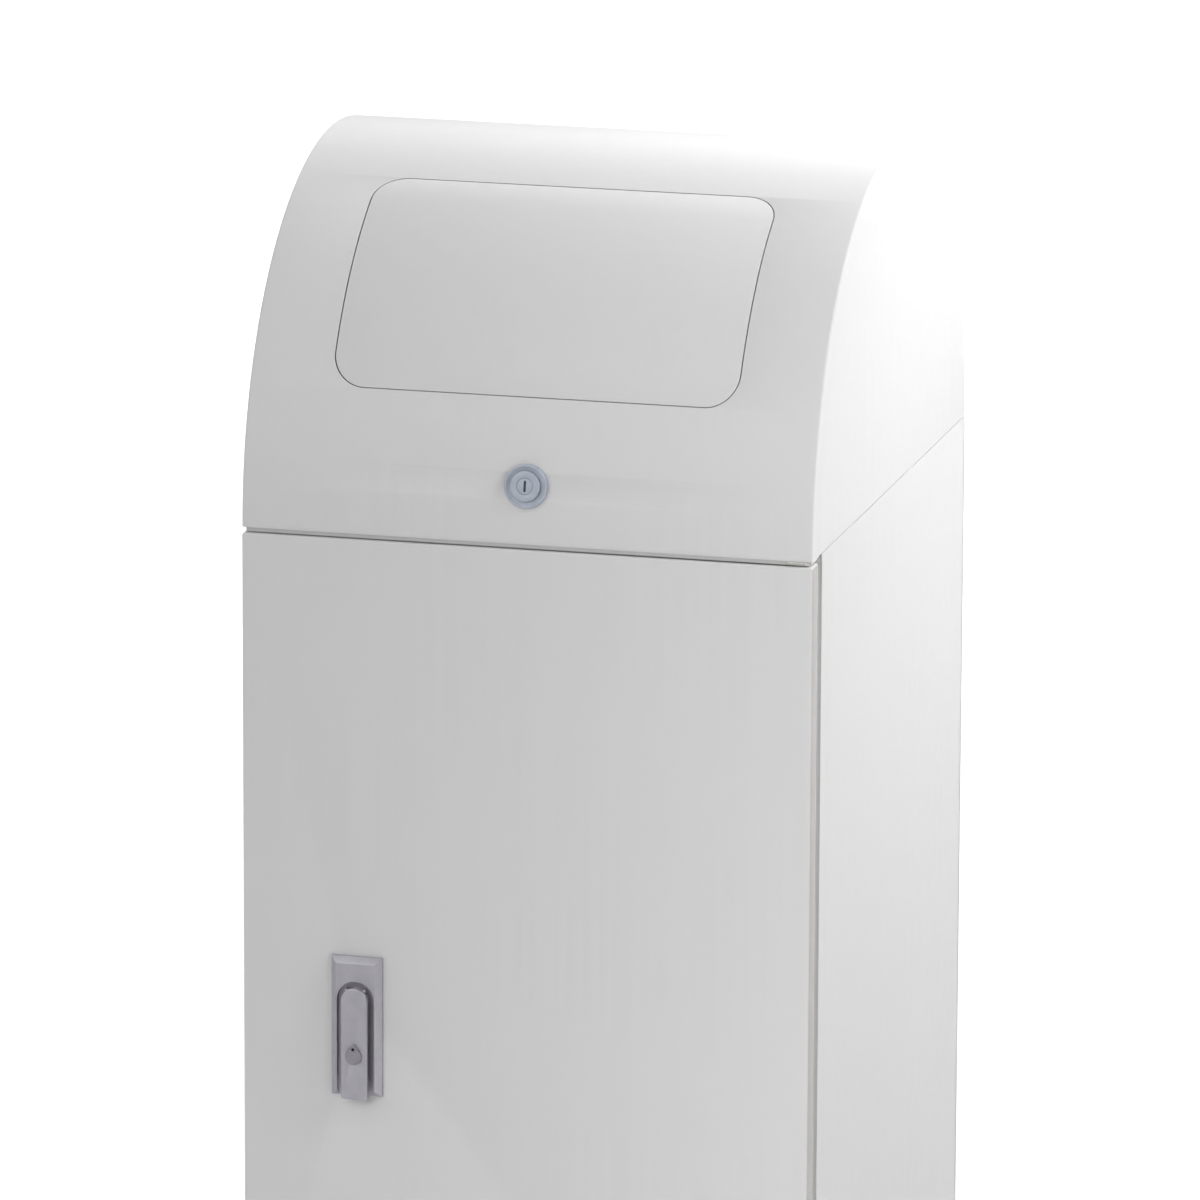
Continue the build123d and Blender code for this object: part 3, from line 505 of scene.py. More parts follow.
@dataclass(frozen=True)
class PowderCoat:
    """Sprayed and baked paint: orange peel, a faint upright drift of tone and a soft gloss."""

    name: str
    tone: Colour
    gloss: float = 0.5
    peel_size: float = 1.6 * MM
    peel_depth: float = 0.011 * MM
    wave_depth: float = 0.16 * MM
    drift: float = 0.03

    def make(self) -> bpy.types.Material:
        """Build the material.

        Returns:
            The finished material.
        """
        desk = NodeDesk(self.name)
        patches = desk.spread(desk.noise(0.11, 3), 0, 1)
        streaks = desk.spread(desk.noise(7 * MM, 2, (1, 1, 0.012)), 0, 1)
        tone = desk.mix(patches, shaded(self.tone, 1 - self.drift), self.tone)
        desk.feed("Base Color", desk.mix(streaks, tone, desk.mix(patches, self.tone, shaded(self.tone, 0.985))))
        desk.feed("Roughness", desk.spread(desk.noise(14 * MM, 4), self.gloss - 0.035, self.gloss + 0.035))
        wavy = desk.bump(desk.noise(0.16, 1), self.wave_depth)
        desk.feed("Normal", desk.bump(desk.noise(self.peel_size, 2), self.peel_depth, wavy))
        desk.fix("Specular IOR Level", 0.5)
        return desk.material


@dataclass(frozen=True)
class SatinMetal:
    """Cast or plated metal: grain along one direction, a drift of tint and blurred gloss."""

    name: str
    tone: Colour
    tint: Colour
    gloss: float = 0.34
    metallic: float = 1.0
    grain: float = 0.5 * MM
    grain_depth: float = 0.004 * MM
    stretch: Colour = (1, 1, 1)

    def make(self) -> bpy.types.Material:
        """Build the material.

        Returns:
            The finished material.
        """
        desk = NodeDesk(self.name)
        fine = desk.noise(self.grain, 3, self.stretch)
        cloud = desk.spread(desk.noise(9 * MM, 3), 0, 1)
        worn = desk.mix(desk.spread(fine, 0, 1), shaded(self.tone, 0.94), self.tone)
        desk.feed("Base Color", desk.mix(cloud, worn, self.tint))
        desk.feed("Roughness", desk.spread(desk.noise(3 * MM, 4), self.gloss - 0.05, self.gloss + 0.06))
        desk.feed("Normal", desk.bump(fine, self.grain_depth, desk.bump(desk.noise(5 * MM, 2), 0.015 * MM)))
        desk.fix("Metallic", self.metallic)
        return desk.material


@dataclass(frozen=True)
class Moulded:
    """Rubber or moulded plastic: a dull skin with fine stipple and a bloom."""

    name: str
    tone: Colour
    gloss: float = 0.7
    stipple: float = 0.7 * MM
    depth: float = 0.02 * MM
    bloom: float = 1.35

    def make(self) -> bpy.types.Material:
        """Build the material.

        Returns:
            The finished material.
        """
        desk = NodeDesk(self.name)
        bloom = desk.spread(desk.noise(18 * MM, 4), 0, 1)
        desk.feed("Base Color", desk.mix(bloom, self.tone, shaded(self.tone, self.bloom)))
        desk.feed("Roughness", desk.spread(desk.noise(5 * MM, 3), self.gloss - 0.06, self.gloss + 0.08))
        desk.feed("Normal", desk.bump(desk.noise(self.stipple, 2), self.depth))
        desk.fix("Specular IOR Level", 0.35)
        return desk.material


class Palette:
    """One material for each of the record's slots."""

    finishes = {
        "cabinet_paint": PowderCoat("cabinet_paint", (0.62, 0.617, 0.619)),
        "inner_paint": PowderCoat("inner_paint", (0.62, 0.62, 0.61), gloss=0.5, peel_depth=0.014 * MM),
        "plinth_paint": PowderCoat("plinth_paint", (0.56, 0.56, 0.56), gloss=0.48),
        "zinc": SatinMetal("zinc", (0.42, 0.405, 0.45), (0.45, 0.44, 0.48), gloss=0.46, metallic=0.55),
        # A darker zinc for the key cover and its rivet.
        "zinc_dark": SatinMetal("zinc_dark", (0.27, 0.258, 0.29), (0.31, 0.30, 0.33), gloss=0.5, metallic=0.4),
        # Painted shade and a warm painted reflection: a darker, warmer paint for the door's upright folded
        # edges.
        "door_edge_painted_shade": PowderCoat("door_edge_painted_shade", (0.40, 0.385, 0.375), gloss=0.55),
        "lock_steel": SatinMetal("lock_steel", (0.37, 0.41, 0.47), (0.41, 0.44, 0.51), gloss=0.5, metallic=0.25,
                                 stretch=(0.15, 1, 1)),
        "plated_steel": SatinMetal("plated_steel", (0.62, 0.62, 0.60), (0.66, 0.64, 0.58), gloss=0.3,
                                   stretch=(0.1, 1, 1)),
        "rubber_black": Moulded("rubber_black", (0.028, 0.028, 0.029), gloss=0.72),
        "rubber_grey": Moulded("rubber_grey", (0.10, 0.10, 0.098), gloss=0.76, depth=0.03 * MM),
        "nylon": Moulded("nylon", (0.72, 0.70, 0.63), gloss=0.45, bloom=1.04, depth=0.008 * MM),
    }

    def __init__(self) -> None:
        """Make every material."""
        self.materials = {slot: finish.make() for slot, finish in self.finishes.items()}
        entries = frame["record"]["subparts"]
        self.slot_of = {entry["node"]: entry["material_slot"] for entry in entries}

    def dress(self, piece: Piece, slot: str) -> None:
        """Give a piece one finish.

        Args:
            piece: the piece.
            slot: the record's material slot.
        """
        piece.data.materials.clear()
        piece.data.materials.append(self.materials[slot])

    def dress_frame(self) -> None:
        """Give every CAD node its finish."""
        for node, piece in frame["nodes"].items():
            for place in piece.material_slots:
                place.material = self.materials[self.slot_of[node]]


class Fitter:
    """Hands finished pieces to the bodies that carry them."""

    def __init__(self, palette: Palette) -> None:
        """Keep the palette and start an empty list.

        Args:
            palette: the finishes.
        """
        self.palette = palette
        self.body_of = {n: b for b, names in frame["record"]["behaviour"]["bodies"].items() for n in names}
        self.shown: list[str] = []

    def fit(self, piece: Piece, body: str, slot: str, *nodes: str) -> Piece:
        """Dress a piece, let it ride on a body and hide the CAD nodes it stands for.

        Args:
            piece: the finished piece.
            body: the CAD body.
            slot: its material slot.
            nodes: CAD nodes that it replaces.

        Returns:
            The piece.
        """
        self.palette.dress(piece, slot)
        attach(piece, body)
        if nodes:
            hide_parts(*nodes)
        self.shown.append(piece.name)
        LOG.info("%s on %s, %d faces", piece.name, body, len(piece.data.polygons))
        return piece

    def stand_in(self, piece: Piece, *nodes: str) -> Piece:
        """Fit a piece in place of CAD nodes, with the first one's body and slot."""
        return self.fit(piece, self.body_of[nodes[0]], self.palette.slot_of[nodes[0]], *nodes)

    def refine(self, node: str, edge: float = 0.25 * MM, segments: int = 2) -> Piece:
        """Fit a merged copy of a CAD node with its edges rounded.

        Args:
            node: the CAD node.
            edge: width of the rounding, 0 for none.
            segments: facets across the rounding.

        Returns:
            The copy.
        """
        source = frame["nodes"][node]
        piece = source.copy()
        piece.data = source.data.copy()
        piece.parent = None
        piece.name = f"{node}_finished"
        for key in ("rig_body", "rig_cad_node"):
            del piece[key]
        bpy.context.scene.collection.objects.link(piece)
        Bench.pick_all(piece)
        bpy.ops.mesh.customdata_custom_splitnormals_clear()
        bpy.ops.mesh.remove_doubles(threshold=0.002 * MM)
        bpy.ops.mesh.dissolve_limited(angle_limit=radians(0.4))
        bpy.ops.object.mode_set(mode="OBJECT")
        Bench.soften(piece, edge, segments=segments)
        return self.stand_in(piece, node)


# ---------------------------------------------------------------------------- hood and flap
@dataclass
class Hood:
    """The barrel hood: one seamless shell, its flap, rim, springs and the flap's fittings."""

    fitter: Fitter
    sheet: float = 1.6 * MM
    fold: float = 2.0 * MM             # rounding between the barrel and the cheeks
    margin: float = 60 * MM            # opening from the hood's sides
    low_angle: float = 24.0            # opening's lower edge, above the horizontal
    high_angle: float = 67.0
    corner: float = 25 * MM
    gap: float = 0.8 * MM              # between the flap and its opening
    trim: float = 0.45 * MM            # opening's edge, inward of the CAD's
    turns_of_arc: int = 360
    strip_setback: float = 2.6 * MM
    strip_depth: float = 2.4 * MM
    strip_drop: float = 3.7 * MM
    wire: float = 1.3 * MM
    coil_turns: int = 12

    def __post_init__(self) -> None:
        """Read the hood's size and place from the frame."""
        zone = Zone.of("hood_skin")
        self.width = zone.size.x
        self.radius = zone.size.y / 2
        self.split = zone.low.z

    def drum(self, name: str, width: float, capped: bool) -> Piece:
        """Make the upper half of a barrel as a thin shell.

        Args:
            name: the piece's name.
            width: its length along X.
            capped: whether its ends are closed and their edges rounded.

        Returns:
            The shell, its wall inside the hood's radius.
        """
        Bench.clear()
        bpy.ops.mesh.primitive_cylinder_add(
            vertices=self.turns_of_arc, radius=self.radius, depth=width, rotation=(0, pi / 2, 0),
            location=(0, 0, self.split), end_fill_type="NGON" if capped else "NOTHING",
        )
        shell = Bench.settle(name)
        Bench.half(shell, Vector((0, 0, self.split)), Vector((0, 0, 1)))
        if capped:
            Bench.bevel(
                shell,
                lambda mid, way: near(abs(mid.x), width / 2) and mid.z > self.split + 0.5 * MM,
                self.fold, 5,
            )
        Bench.finish_with(shell, "SOLIDIFY", thickness=self.sheet, offset=-1, use_even_offset=True)
        return shell

    def opening(self, name: str, inset: float) -> Piece:
        """Make the rounded block that cuts the opening or trims the flap.

        Args:
            name: the piece's name.
            inset: how much smaller than the opening it is, all round.

        Returns:
            The block, standing across the shell.
        """
        middle = radians((self.low_angle + self.high_angle) / 2)
        across = self.radius * sin(radians(self.high_angle - self.low_angle) / 2) - inset
        side = self.width / 2 - self.margin - inset
        block = Bench.block(name, (-side, -across, 0.8 * self.radius), (side, across, 1.2 * self.radius))
        Bench.bevel(block, lambda mid, way: abs(way.z) > 0.9, self.corner - inset, 14)
        out = Vector((0, -cos(middle), sin(middle)))
        right = Vector((1, 0, 0))
        return Bench.place(block, along(Vector((0, 0, self.split)), right, out.cross(right)))

    def shell(self) -> None:
        """Build the seamless outer shell with the flap opening and the lock's hole."""
        shell = self.drum("hood_shell", self.width, True)
        Bench.combine(shell, self.opening("opening_cutter", self.trim), Mode.CUT)
        hole = Bench.disc("lock_hole", 9.6 * MM, -8 * MM, 8 * MM)
        Bench.combine(shell, Bench.place(hole, lock_frame()), Mode.CUT)
        Bench.soften(shell, 0.35 * MM, 50)
        self.fitter.stand_in(shell, "hood_skin", "left_hood_cheek", "right_hood_cheek")

    def flap(self) -> None:
        """Build the flap as a trimmed piece of the same barrel."""
        flap = self.drum("flap_skin", self.width - 2 * self.margin + 40 * MM, False)
        Bench.combine(flap, self.opening("flap_trimmer", self.trim + self.gap), Mode.KEEP)
        Bench.soften(flap, 0.35 * MM, 50)
        self.fitter.stand_in(flap, "flap_panel")

    def edge_strip(self) -> None:
        """Build the strip along the hood's front edge that closes the joint above the door."""
        front = -self.radius + self.strip_setback
        side = self.width / 2 - self.strip_setback
        strip = Bench.block(
            "edge_strip",
            (-side, front, self.split - self.strip_drop),
            (side, front + self.strip_depth, self.split + 0.4 * MM),
        )
        Bench.bevel(strip, lambda mid, way: abs(way.x) > 0.9 and mid.z < self.split, 0.8 * MM, 4)
        Bench.soften(strip, 0.2 * MM, 50)
        self.fitter.fit(strip, "hood", "plinth_paint")

    def springs(self) -> None:
        """Build the two flap return springs as wound wire."""
        zone = Zone.of("flap_springs")
        pin = Zone.of("flap_pin")
        coil_radius = pin.size.z / 2 + 0.3 * MM + self.wire / 2
        length = self.coil_turns * 1.4 * MM
        Bench.clear()
        bpy.ops.mesh.primitive_circle_add(
            radius=self.wire / 2, vertices=10, location=(self.wire / 2, coil_radius, 0), fill_type="NOTHING"
        )
        coil = Bench.settle("flap_spring_left")
        Bench.finish_with(
            coil, "SCREW", axis="X", angle=2 * pi, steps=28, render_steps=28,
            iterations=self.coil_turns, screw_offset=(length - self.wire) / self.coil_turns,
        )
        Bench.pick_all(coil)
        bpy.ops.mesh.fill_holes(sides=0)
        bpy.ops.mesh.normals_make_consistent(inside=False)
        bpy.ops.object.mode_set(mode="OBJECT")
        Bench.take(coil)
        bpy.ops.object.shade_smooth_by_angle(angle=radians(40))
        left = Matrix.Translation((zone.low.x, pin.mid.y, pin.mid.z))
        right = Matrix.Translation((zone.high.x - length, pin.mid.y, pin.mid.z))
        twin = Bench.copy(coil, "flap_spring_right", right)
        Bench.place(coil, left)
        self.fitter.stand_in(coil, "flap_springs")
        self.fitter.fit(twin, "hood", "plated_steel")

    def build(self) -> None:
        """Build the hood and everything fixed to it, apart from its lock."""
        self.shell()
        self.flap()
        self.edge_strip()
        self.springs()
        for node in ("hood_rim", "flap_brackets", "flap_pin", "prop_catch", "flap_stop", "flap_ribs",
                     "flap_knuckles"):
            self.fitter.refine(node)


def lock_frame() -> Matrix:
    """The hood lock's frame on the outer surface: Z points out along its axis."""
    turn = joint("hood_lock_turn")
    out = Vector(turn["axis"])
    right = Vector((1, 0, 0))
    return along(Vector(turn["pos_m"]), right, out.cross(right))


@dataclass
class HoodLock:
    """The cam lock: outer ring, barrel with its head, plug with a key slot, cam and screw."""

    fitter: Fitter
    rose_radius: float = 16 * MM
    rose_height: float = 2.5 * MM
    head_radius: float = 11 * MM
    head_height: float = 2.5 * MM
    barrel_radius: float = 9.5 * MM
    plug_radius: float = 6 * MM
    running: float = 0.05 * MM
    reach: float = 44 * MM
    slot_size: tuple[float, float, float] = (1.8 * MM, 8 * MM, 5 * MM)

    def rose(self) -> None:
        """Build the outer ring with its rolled edge and shallow step."""
        ring = Bench.disc("lock_ring", self.rose_radius, -0.7 * MM, self.rose_height, 128)
        top = self.rose_height
        Bench.sink(ring, lambda mid, way: way.z > 0.9, 2.2 * MM, Vector((0, 0, -0.35 * MM)))
        bore = Bench.disc("ring_bore", self.barrel_radius, -3 * MM, top + 3 * MM)
        Bench.combine(ring, bore, Mode.CUT)
        Bench.bevel(
            ring, lambda mid, way: near(mid.z, top) and mid.xy.length > self.rose_radius - 0.5 * MM, 0.8 * MM, 5
        )
        Bench.soften(ring, 0.12 * MM, 35)
        self.fitter.stand_in(Bench.place(ring, lock_frame()), "lock_rose")

    def barrel(self) -> None:
        """Build the barrel: a stepped head in front and a long body through the hood."""
        low = self.rose_height
        high = low + self.head_height
        head = Bench.disc("lock_body", self.head_radius, low, high, 128)
        reach = self.reach + low - 0.3 * MM
        Bench.sink(
            head, lambda mid, way: way.z < -0.9, self.head_radius - self.barrel_radius, Vector((0, 0, -reach))
        )
        bore = Bench.disc("barrel_bore", self.plug_radius + self.running, -60 * MM, 20 * MM)
        Bench.combine(head, bore, Mode.CUT)
        Bench.bevel(
            head, lambda mid, way: near(mid.z, high) and mid.xy.length > self.head_radius - 0.5 * MM, 0.7 * MM, 5
        )
        Bench.soften(head, 0.15 * MM, 35)
        self.fitter.stand_in(Bench.place(head, lock_frame()), "lock_barrel")

    def plug(self) -> None:
        """Build the plug with its key slot and the square that drives the cam."""
        top = self.rose_height + self.head_height - 0.3 * MM
        plug = Bench.disc("lock_plug_turned", self.plug_radius, -self.reach, top, 96)
        Bench.bevel(plug, lambda mid, way: near(mid.z, top) and abs(way.z) < 0.5, 0.35 * MM, 3)
        width, height, depth = self.slot_size
        slot = Bench.block(
            "key_slot", (-width / 2, -height / 2, top - depth), (width / 2, height / 2, top + 2 * MM)
        )
        Bench.bevel(slot, lambda mid, way: abs(way.z) > 0.9, width * 0.35, 3)
        Bench.combine(plug, slot, Mode.CUT)
        Bench.soften(plug, 0.1 * MM, 50)
        square = Bench.block(
            "cam_square", (-3.5 * MM, -3.5 * MM, -self.reach - 3 * MM), (3.5 * MM, 3.5 * MM, -self.reach)
        )
        plug = Bench.join([plug, square], "lock_plug_turned")
        self.fitter.stand_in(Bench.place(plug, lock_frame()), "lock_plug")

    def build(self) -> None:
        """Build the whole lock."""
        self.rose()
        self.barrel()
        self.plug()
        for node in ("lock_nut", "lock_cam", "cam_screw"):
            self.fitter.refine(node, 0.35 * MM, 3)


# ---------------------------------------------------------------------------- body
@dataclass
class Cabinet:
    """The box body: folded panels, frames, plinth, ribbed mat, rivets and the prop rod."""

    fitter: Fitter
    sheet: float = 1.6 * MM
    bend: float = 3.2 * MM
    edge: float = 0.45 * MM
    rib_pitch: float = 9.5 * MM
    rib_width: float = 4.5 * MM
    rib_height: float = 1.1 * MM
    rivet_radius: float = 3.1 * MM
    rivet_height: float = 1.2 * MM
    rivet_pitch: float = 0.118

    def side(self, hand: str) -> None:
        """Build one side panel with its folded rear return.

        Args:
            hand: left or right.
        """
        node = f"{hand}_side_panel"
        zone = Zone.of(node)
        panel = Bench.block(f"{hand}_side", zone.low, zone.high)
        sign = 1 if hand == "right" else -1
        low, high = zone.low.copy(), zone.high.copy()
        low.y -= 0.1
        high.y -= self.sheet
        low.z -= 0.1
        high.z += 0.1
        if sign > 0:
            high.x -= self.sheet
            low.x -= 0.1
        else:
            low.x += self.sheet
            high.x += 0.1
        Bench.combine(panel, Bench.block("side_hollow", low, high), Mode.CUT)
        outer = zone.high.x if sign > 0 else zone.low.x
        Bench.bevel(
            panel,
            lambda mid, way: abs(way.z) > 0.9 and near(mid.x, outer) and near(mid.y, zone.high.y),
            self.bend, 6,
        )
        Bench.soften(panel, self.edge, 60, 3)
        self.fitter.stand_in(panel, node)

    def back(self) -> None:
        """Build the back panel and the rivets that hold it to the side returns."""
        zone = Zone.of("back_panel")
        panel = Bench.block("back_sheet", zone.low, zone.high)
        Bench.bevel(panel, lambda mid, way: abs(way.y) > 0.9, 1.5 * MM, 4)
        Bench.soften(panel, self.edge, 60, 3)
        self.fitter.stand_in(panel, "back_panel")
        rivets = self.rivets(zone)
        self.fitter.fit(rivets, "cabinet", "cabinet_paint")

    def rivets(self, zone: Zone) -> Piece:
        """Build one domed rivet head and copy it up both edges of the back panel.

        Args:
            zone: the back panel's box.

        Returns:
            All the rivet heads as one piece.
        """
        head = Bench.disc("rivet_model", self.rivet_radius, 0, self.rivet_height, 28)
        top = self.rivet_height
        Bench.bevel(head, lambda mid, way: near(mid.z, top) and abs(way.z) < 0.5, 0.85 * MM, 4)
        Bench.sink(head, lambda mid, way: way.z > 0.95, 0.9 * MM, Vector((0, 0, -0.3 * MM)))
        Bench.soften(head, 0, 40)
        inset = 9 * MM
        rows = int((zone.size.z - 0.08) / self.rivet_pitch) + 1
        start = zone.mid.z - self.rivet_pitch * (rows - 1) / 2
        heads = []
        for x in (zone.low.x + inset, zone.high.x - inset):
            for row in range(rows):
                place = Vector((x, zone.high.y, start + row * self.rivet_pitch))
                out = along(place, Vector((-1, 0, 0)), Vector((0, 0, 1)))
                heads.append(Bench.copy(head, "rivet_head", out))
        bpy.data.objects.remove(head)
        return Bench.join(heads, "back_rivets")

    def mat(self) -> None:
        """Build the ribbed rubber mat on the compartment floor."""
        zone = Zone.of("floor_mat")
        top = zone.high.z - self.rib_height
        base = Bench.block("ribbed_mat", zone.low, (zone.high.x, zone.high.y, top))
        Bench.bevel(base, lambda mid, way: abs(way.z) > 0.9, 12 * MM, 6)
        border = 14 * MM
        rib = Bench.block(
            "mat_rib",
            (zone.low.x + border, zone.low.y + border, top - 0.3 * MM),
            (zone.high.x - border, zone.low.y + border + self.rib_width, zone.high.z),
        )
        Bench.bevel(rib, lambda mid, way: near(mid.z, zone.high.z), 0.7 * MM, 3)
        count = int((zone.size.y - 2 * border) / self.rib_pitch)
        Bench.finish_with(
            rib, "ARRAY", count=count, use_relative_offset=False, use_constant_offset=True,
            constant_offset_displace=(0, self.rib_pitch, 0),
        )
        Bench.soften(base, 0.5 * MM, 50)
        Bench.soften(rib, 0)
        self.fitter.stand_in(Bench.join([base, rib], "ribbed_mat"), "floor_mat")

    def build(self) -> None:
        """Build the body and what is fixed to it."""
        for hand in ("left", "right"):
            self.side(hand)
        self.back()
        self.mat()
        for node in ("plinth", "floor_panel", "front_frame", "top_frame", "lock_keeper", "hood_seal",
                     "slide_plate", "upper_pivot", "lower_pivot", "thrust_washer", "prop_bracket",
                     "prop_pin", "prop_clip", "prop_rod"):
            self.fitter.refine(node)


@dataclass
class RearHinge:
    """The continuous hinge behind the hood, with its button-head screws."""

    fitter: Fitter
    screw_radius: float = 4 * MM
    screw_height: float = 2.2 * MM
    socket_radius: float = 1.9 * MM
    screw_count: int = 5

    def screw(self, name: str) -> Piece:
        """Build one button-head screw with a six-sided socket, Z outward.

        Args:
            name: the piece's name.

        Returns:
            The screw head.
        """
        head = Bench.disc(name, self.screw_radius, 0, self.screw_height, 40)
        top = self.screw_height
        Bench.bevel(head, lambda mid, way: near(mid.z, top) and abs(way.z) < 0.5, 1.5 * MM, 6)
        socket = Bench.disc("screw_socket", self.socket_radius, 0.7 * MM, top + MM, 6)
        Bench.combine(head, socket, Mode.CUT)
        Bench.soften(head, 0.08 * MM, 45)
        return head

    def build(self) -> None:
        """Build the hinge's leaves, pin and screws."""
        for node in ("hinge_fixed_leaf", "hinge_moving_leaf", "hinge_pin"):
            self.fitter.refine(node)
        zone = Zone.of("hinge_screws")
        self.fitter.stand_in(self.row(zone, zone.low.y, "leaf_screws"), "hinge_screws")

    def row(self, zone: Zone, face: float, name: str) -> Piece:
        """Copy the screw along the fixed leaf.

        Args:
            zone: the CAD screws' box.
            face: the leaf's outer face along Y.
            name: the piece's name.

        Returns:
            The screws as one piece.
        """
        model = self.screw("leaf_screw_model")
        first = zone.low.x + self.screw_radius
        step = (zone.size.x - 2 * self.screw_radius) / (self.screw_count - 1)
        heads = []
        for index in range(self.screw_count):
            spot = Vector((first + index * step, face, zone.mid.z))
            outward = along(spot, Vector((-1, 0, 0)), Vector((0, 0, 1)))
            heads.append(Bench.copy(model, "leaf_screw", outward))
        bpy.data.objects.remove(model)
        return Bench.join(heads, name)


# ---------------------------------------------------------------------------- door and handle
@dataclass
class Door:
    """The door: a folded pan, its liner, gasket, pivots and latch housing."""

    fitter: Fitter
    sheet: float = 1.6 * MM
    corner: float = 2.0 * MM
    fold: float = 1.5 * MM
    spindle_hole: float = 8 * MM
    bush_radius: float = 6 * MM

    def pan(self) -> None:
        """Build the outer pan with rounded folds, open towards the liner."""
        zone = Zone.of("door_skin")
        pan = Bench.block("door_pan", zone.low, zone.high)
        Bench.bevel(pan, lambda mid, way: abs(way.y) > 0.9, self.corner, 5)
        Bench.sink(pan, lambda mid, way: way.y > 0.9, self.sheet, Vector((0, -zone.size.y + self.sheet, 0)))
        Bench.bevel(pan, lambda mid, way: near(mid.y, zone.low.y) and abs(way.y) < 0.5, self.fold, 5)
        hub = Vector(joint("latch_turn")["pos_m"])
        hole = Bench.disc("spindle_hole", self.spindle_hole, -5 * MM, 5 * MM)
        Bench.combine(pan, Bench.place(hole, along(hub, Vector((1, 0, 0)), Vector((0, 0, 1)))), Mode.CUT)
        pivot = Vector(joint("door_hinge")["pos_m"])
        bore = Bench.disc("bush_bore", self.bush_radius, zone.low.z - MM, zone.high.z + MM)
        Bench.combine(pan, Bench.place(bore, Matrix.Translation((pivot.x, pivot.y, 0))), Mode.CUT)
        Bench.soften(pan, 0.3 * MM, 60)
        self.fitter.stand_in(pan, "door_skin")
        self.paint_edge_shade(pan, zone)

    def paint_edge_shade(self, pan: Piece, zone: Zone) -> None:
        """Paint shade on the pan's upright folded edges: a warmer, darker paint stands in for their shade and
        for a warm reflection.

        Args:
            pan: the door pan.
            zone: the pan's box.
        """
        pan.data.materials.append(self.fitter.palette.materials["door_edge_painted_shade"])
        half = zone.size.x / 2 - self.corner
        for face in pan.data.polygons:
            if abs(face.normal.x) > 0.9 and abs(face.center.x - zone.mid.x) > half + 0.5 * self.corner:
                face.material_index = 1

    def build(self) -> None:
        """Build the door without its handle."""
        self.pan()
        for node in ("door_liner", "door_stiffeners", "door_bushes", "door_gasket", "latch_housing",
                     "housing_screws", "latch_cam", "latch_nut", "spindle_shaft"):
            self.fitter.refine(node)


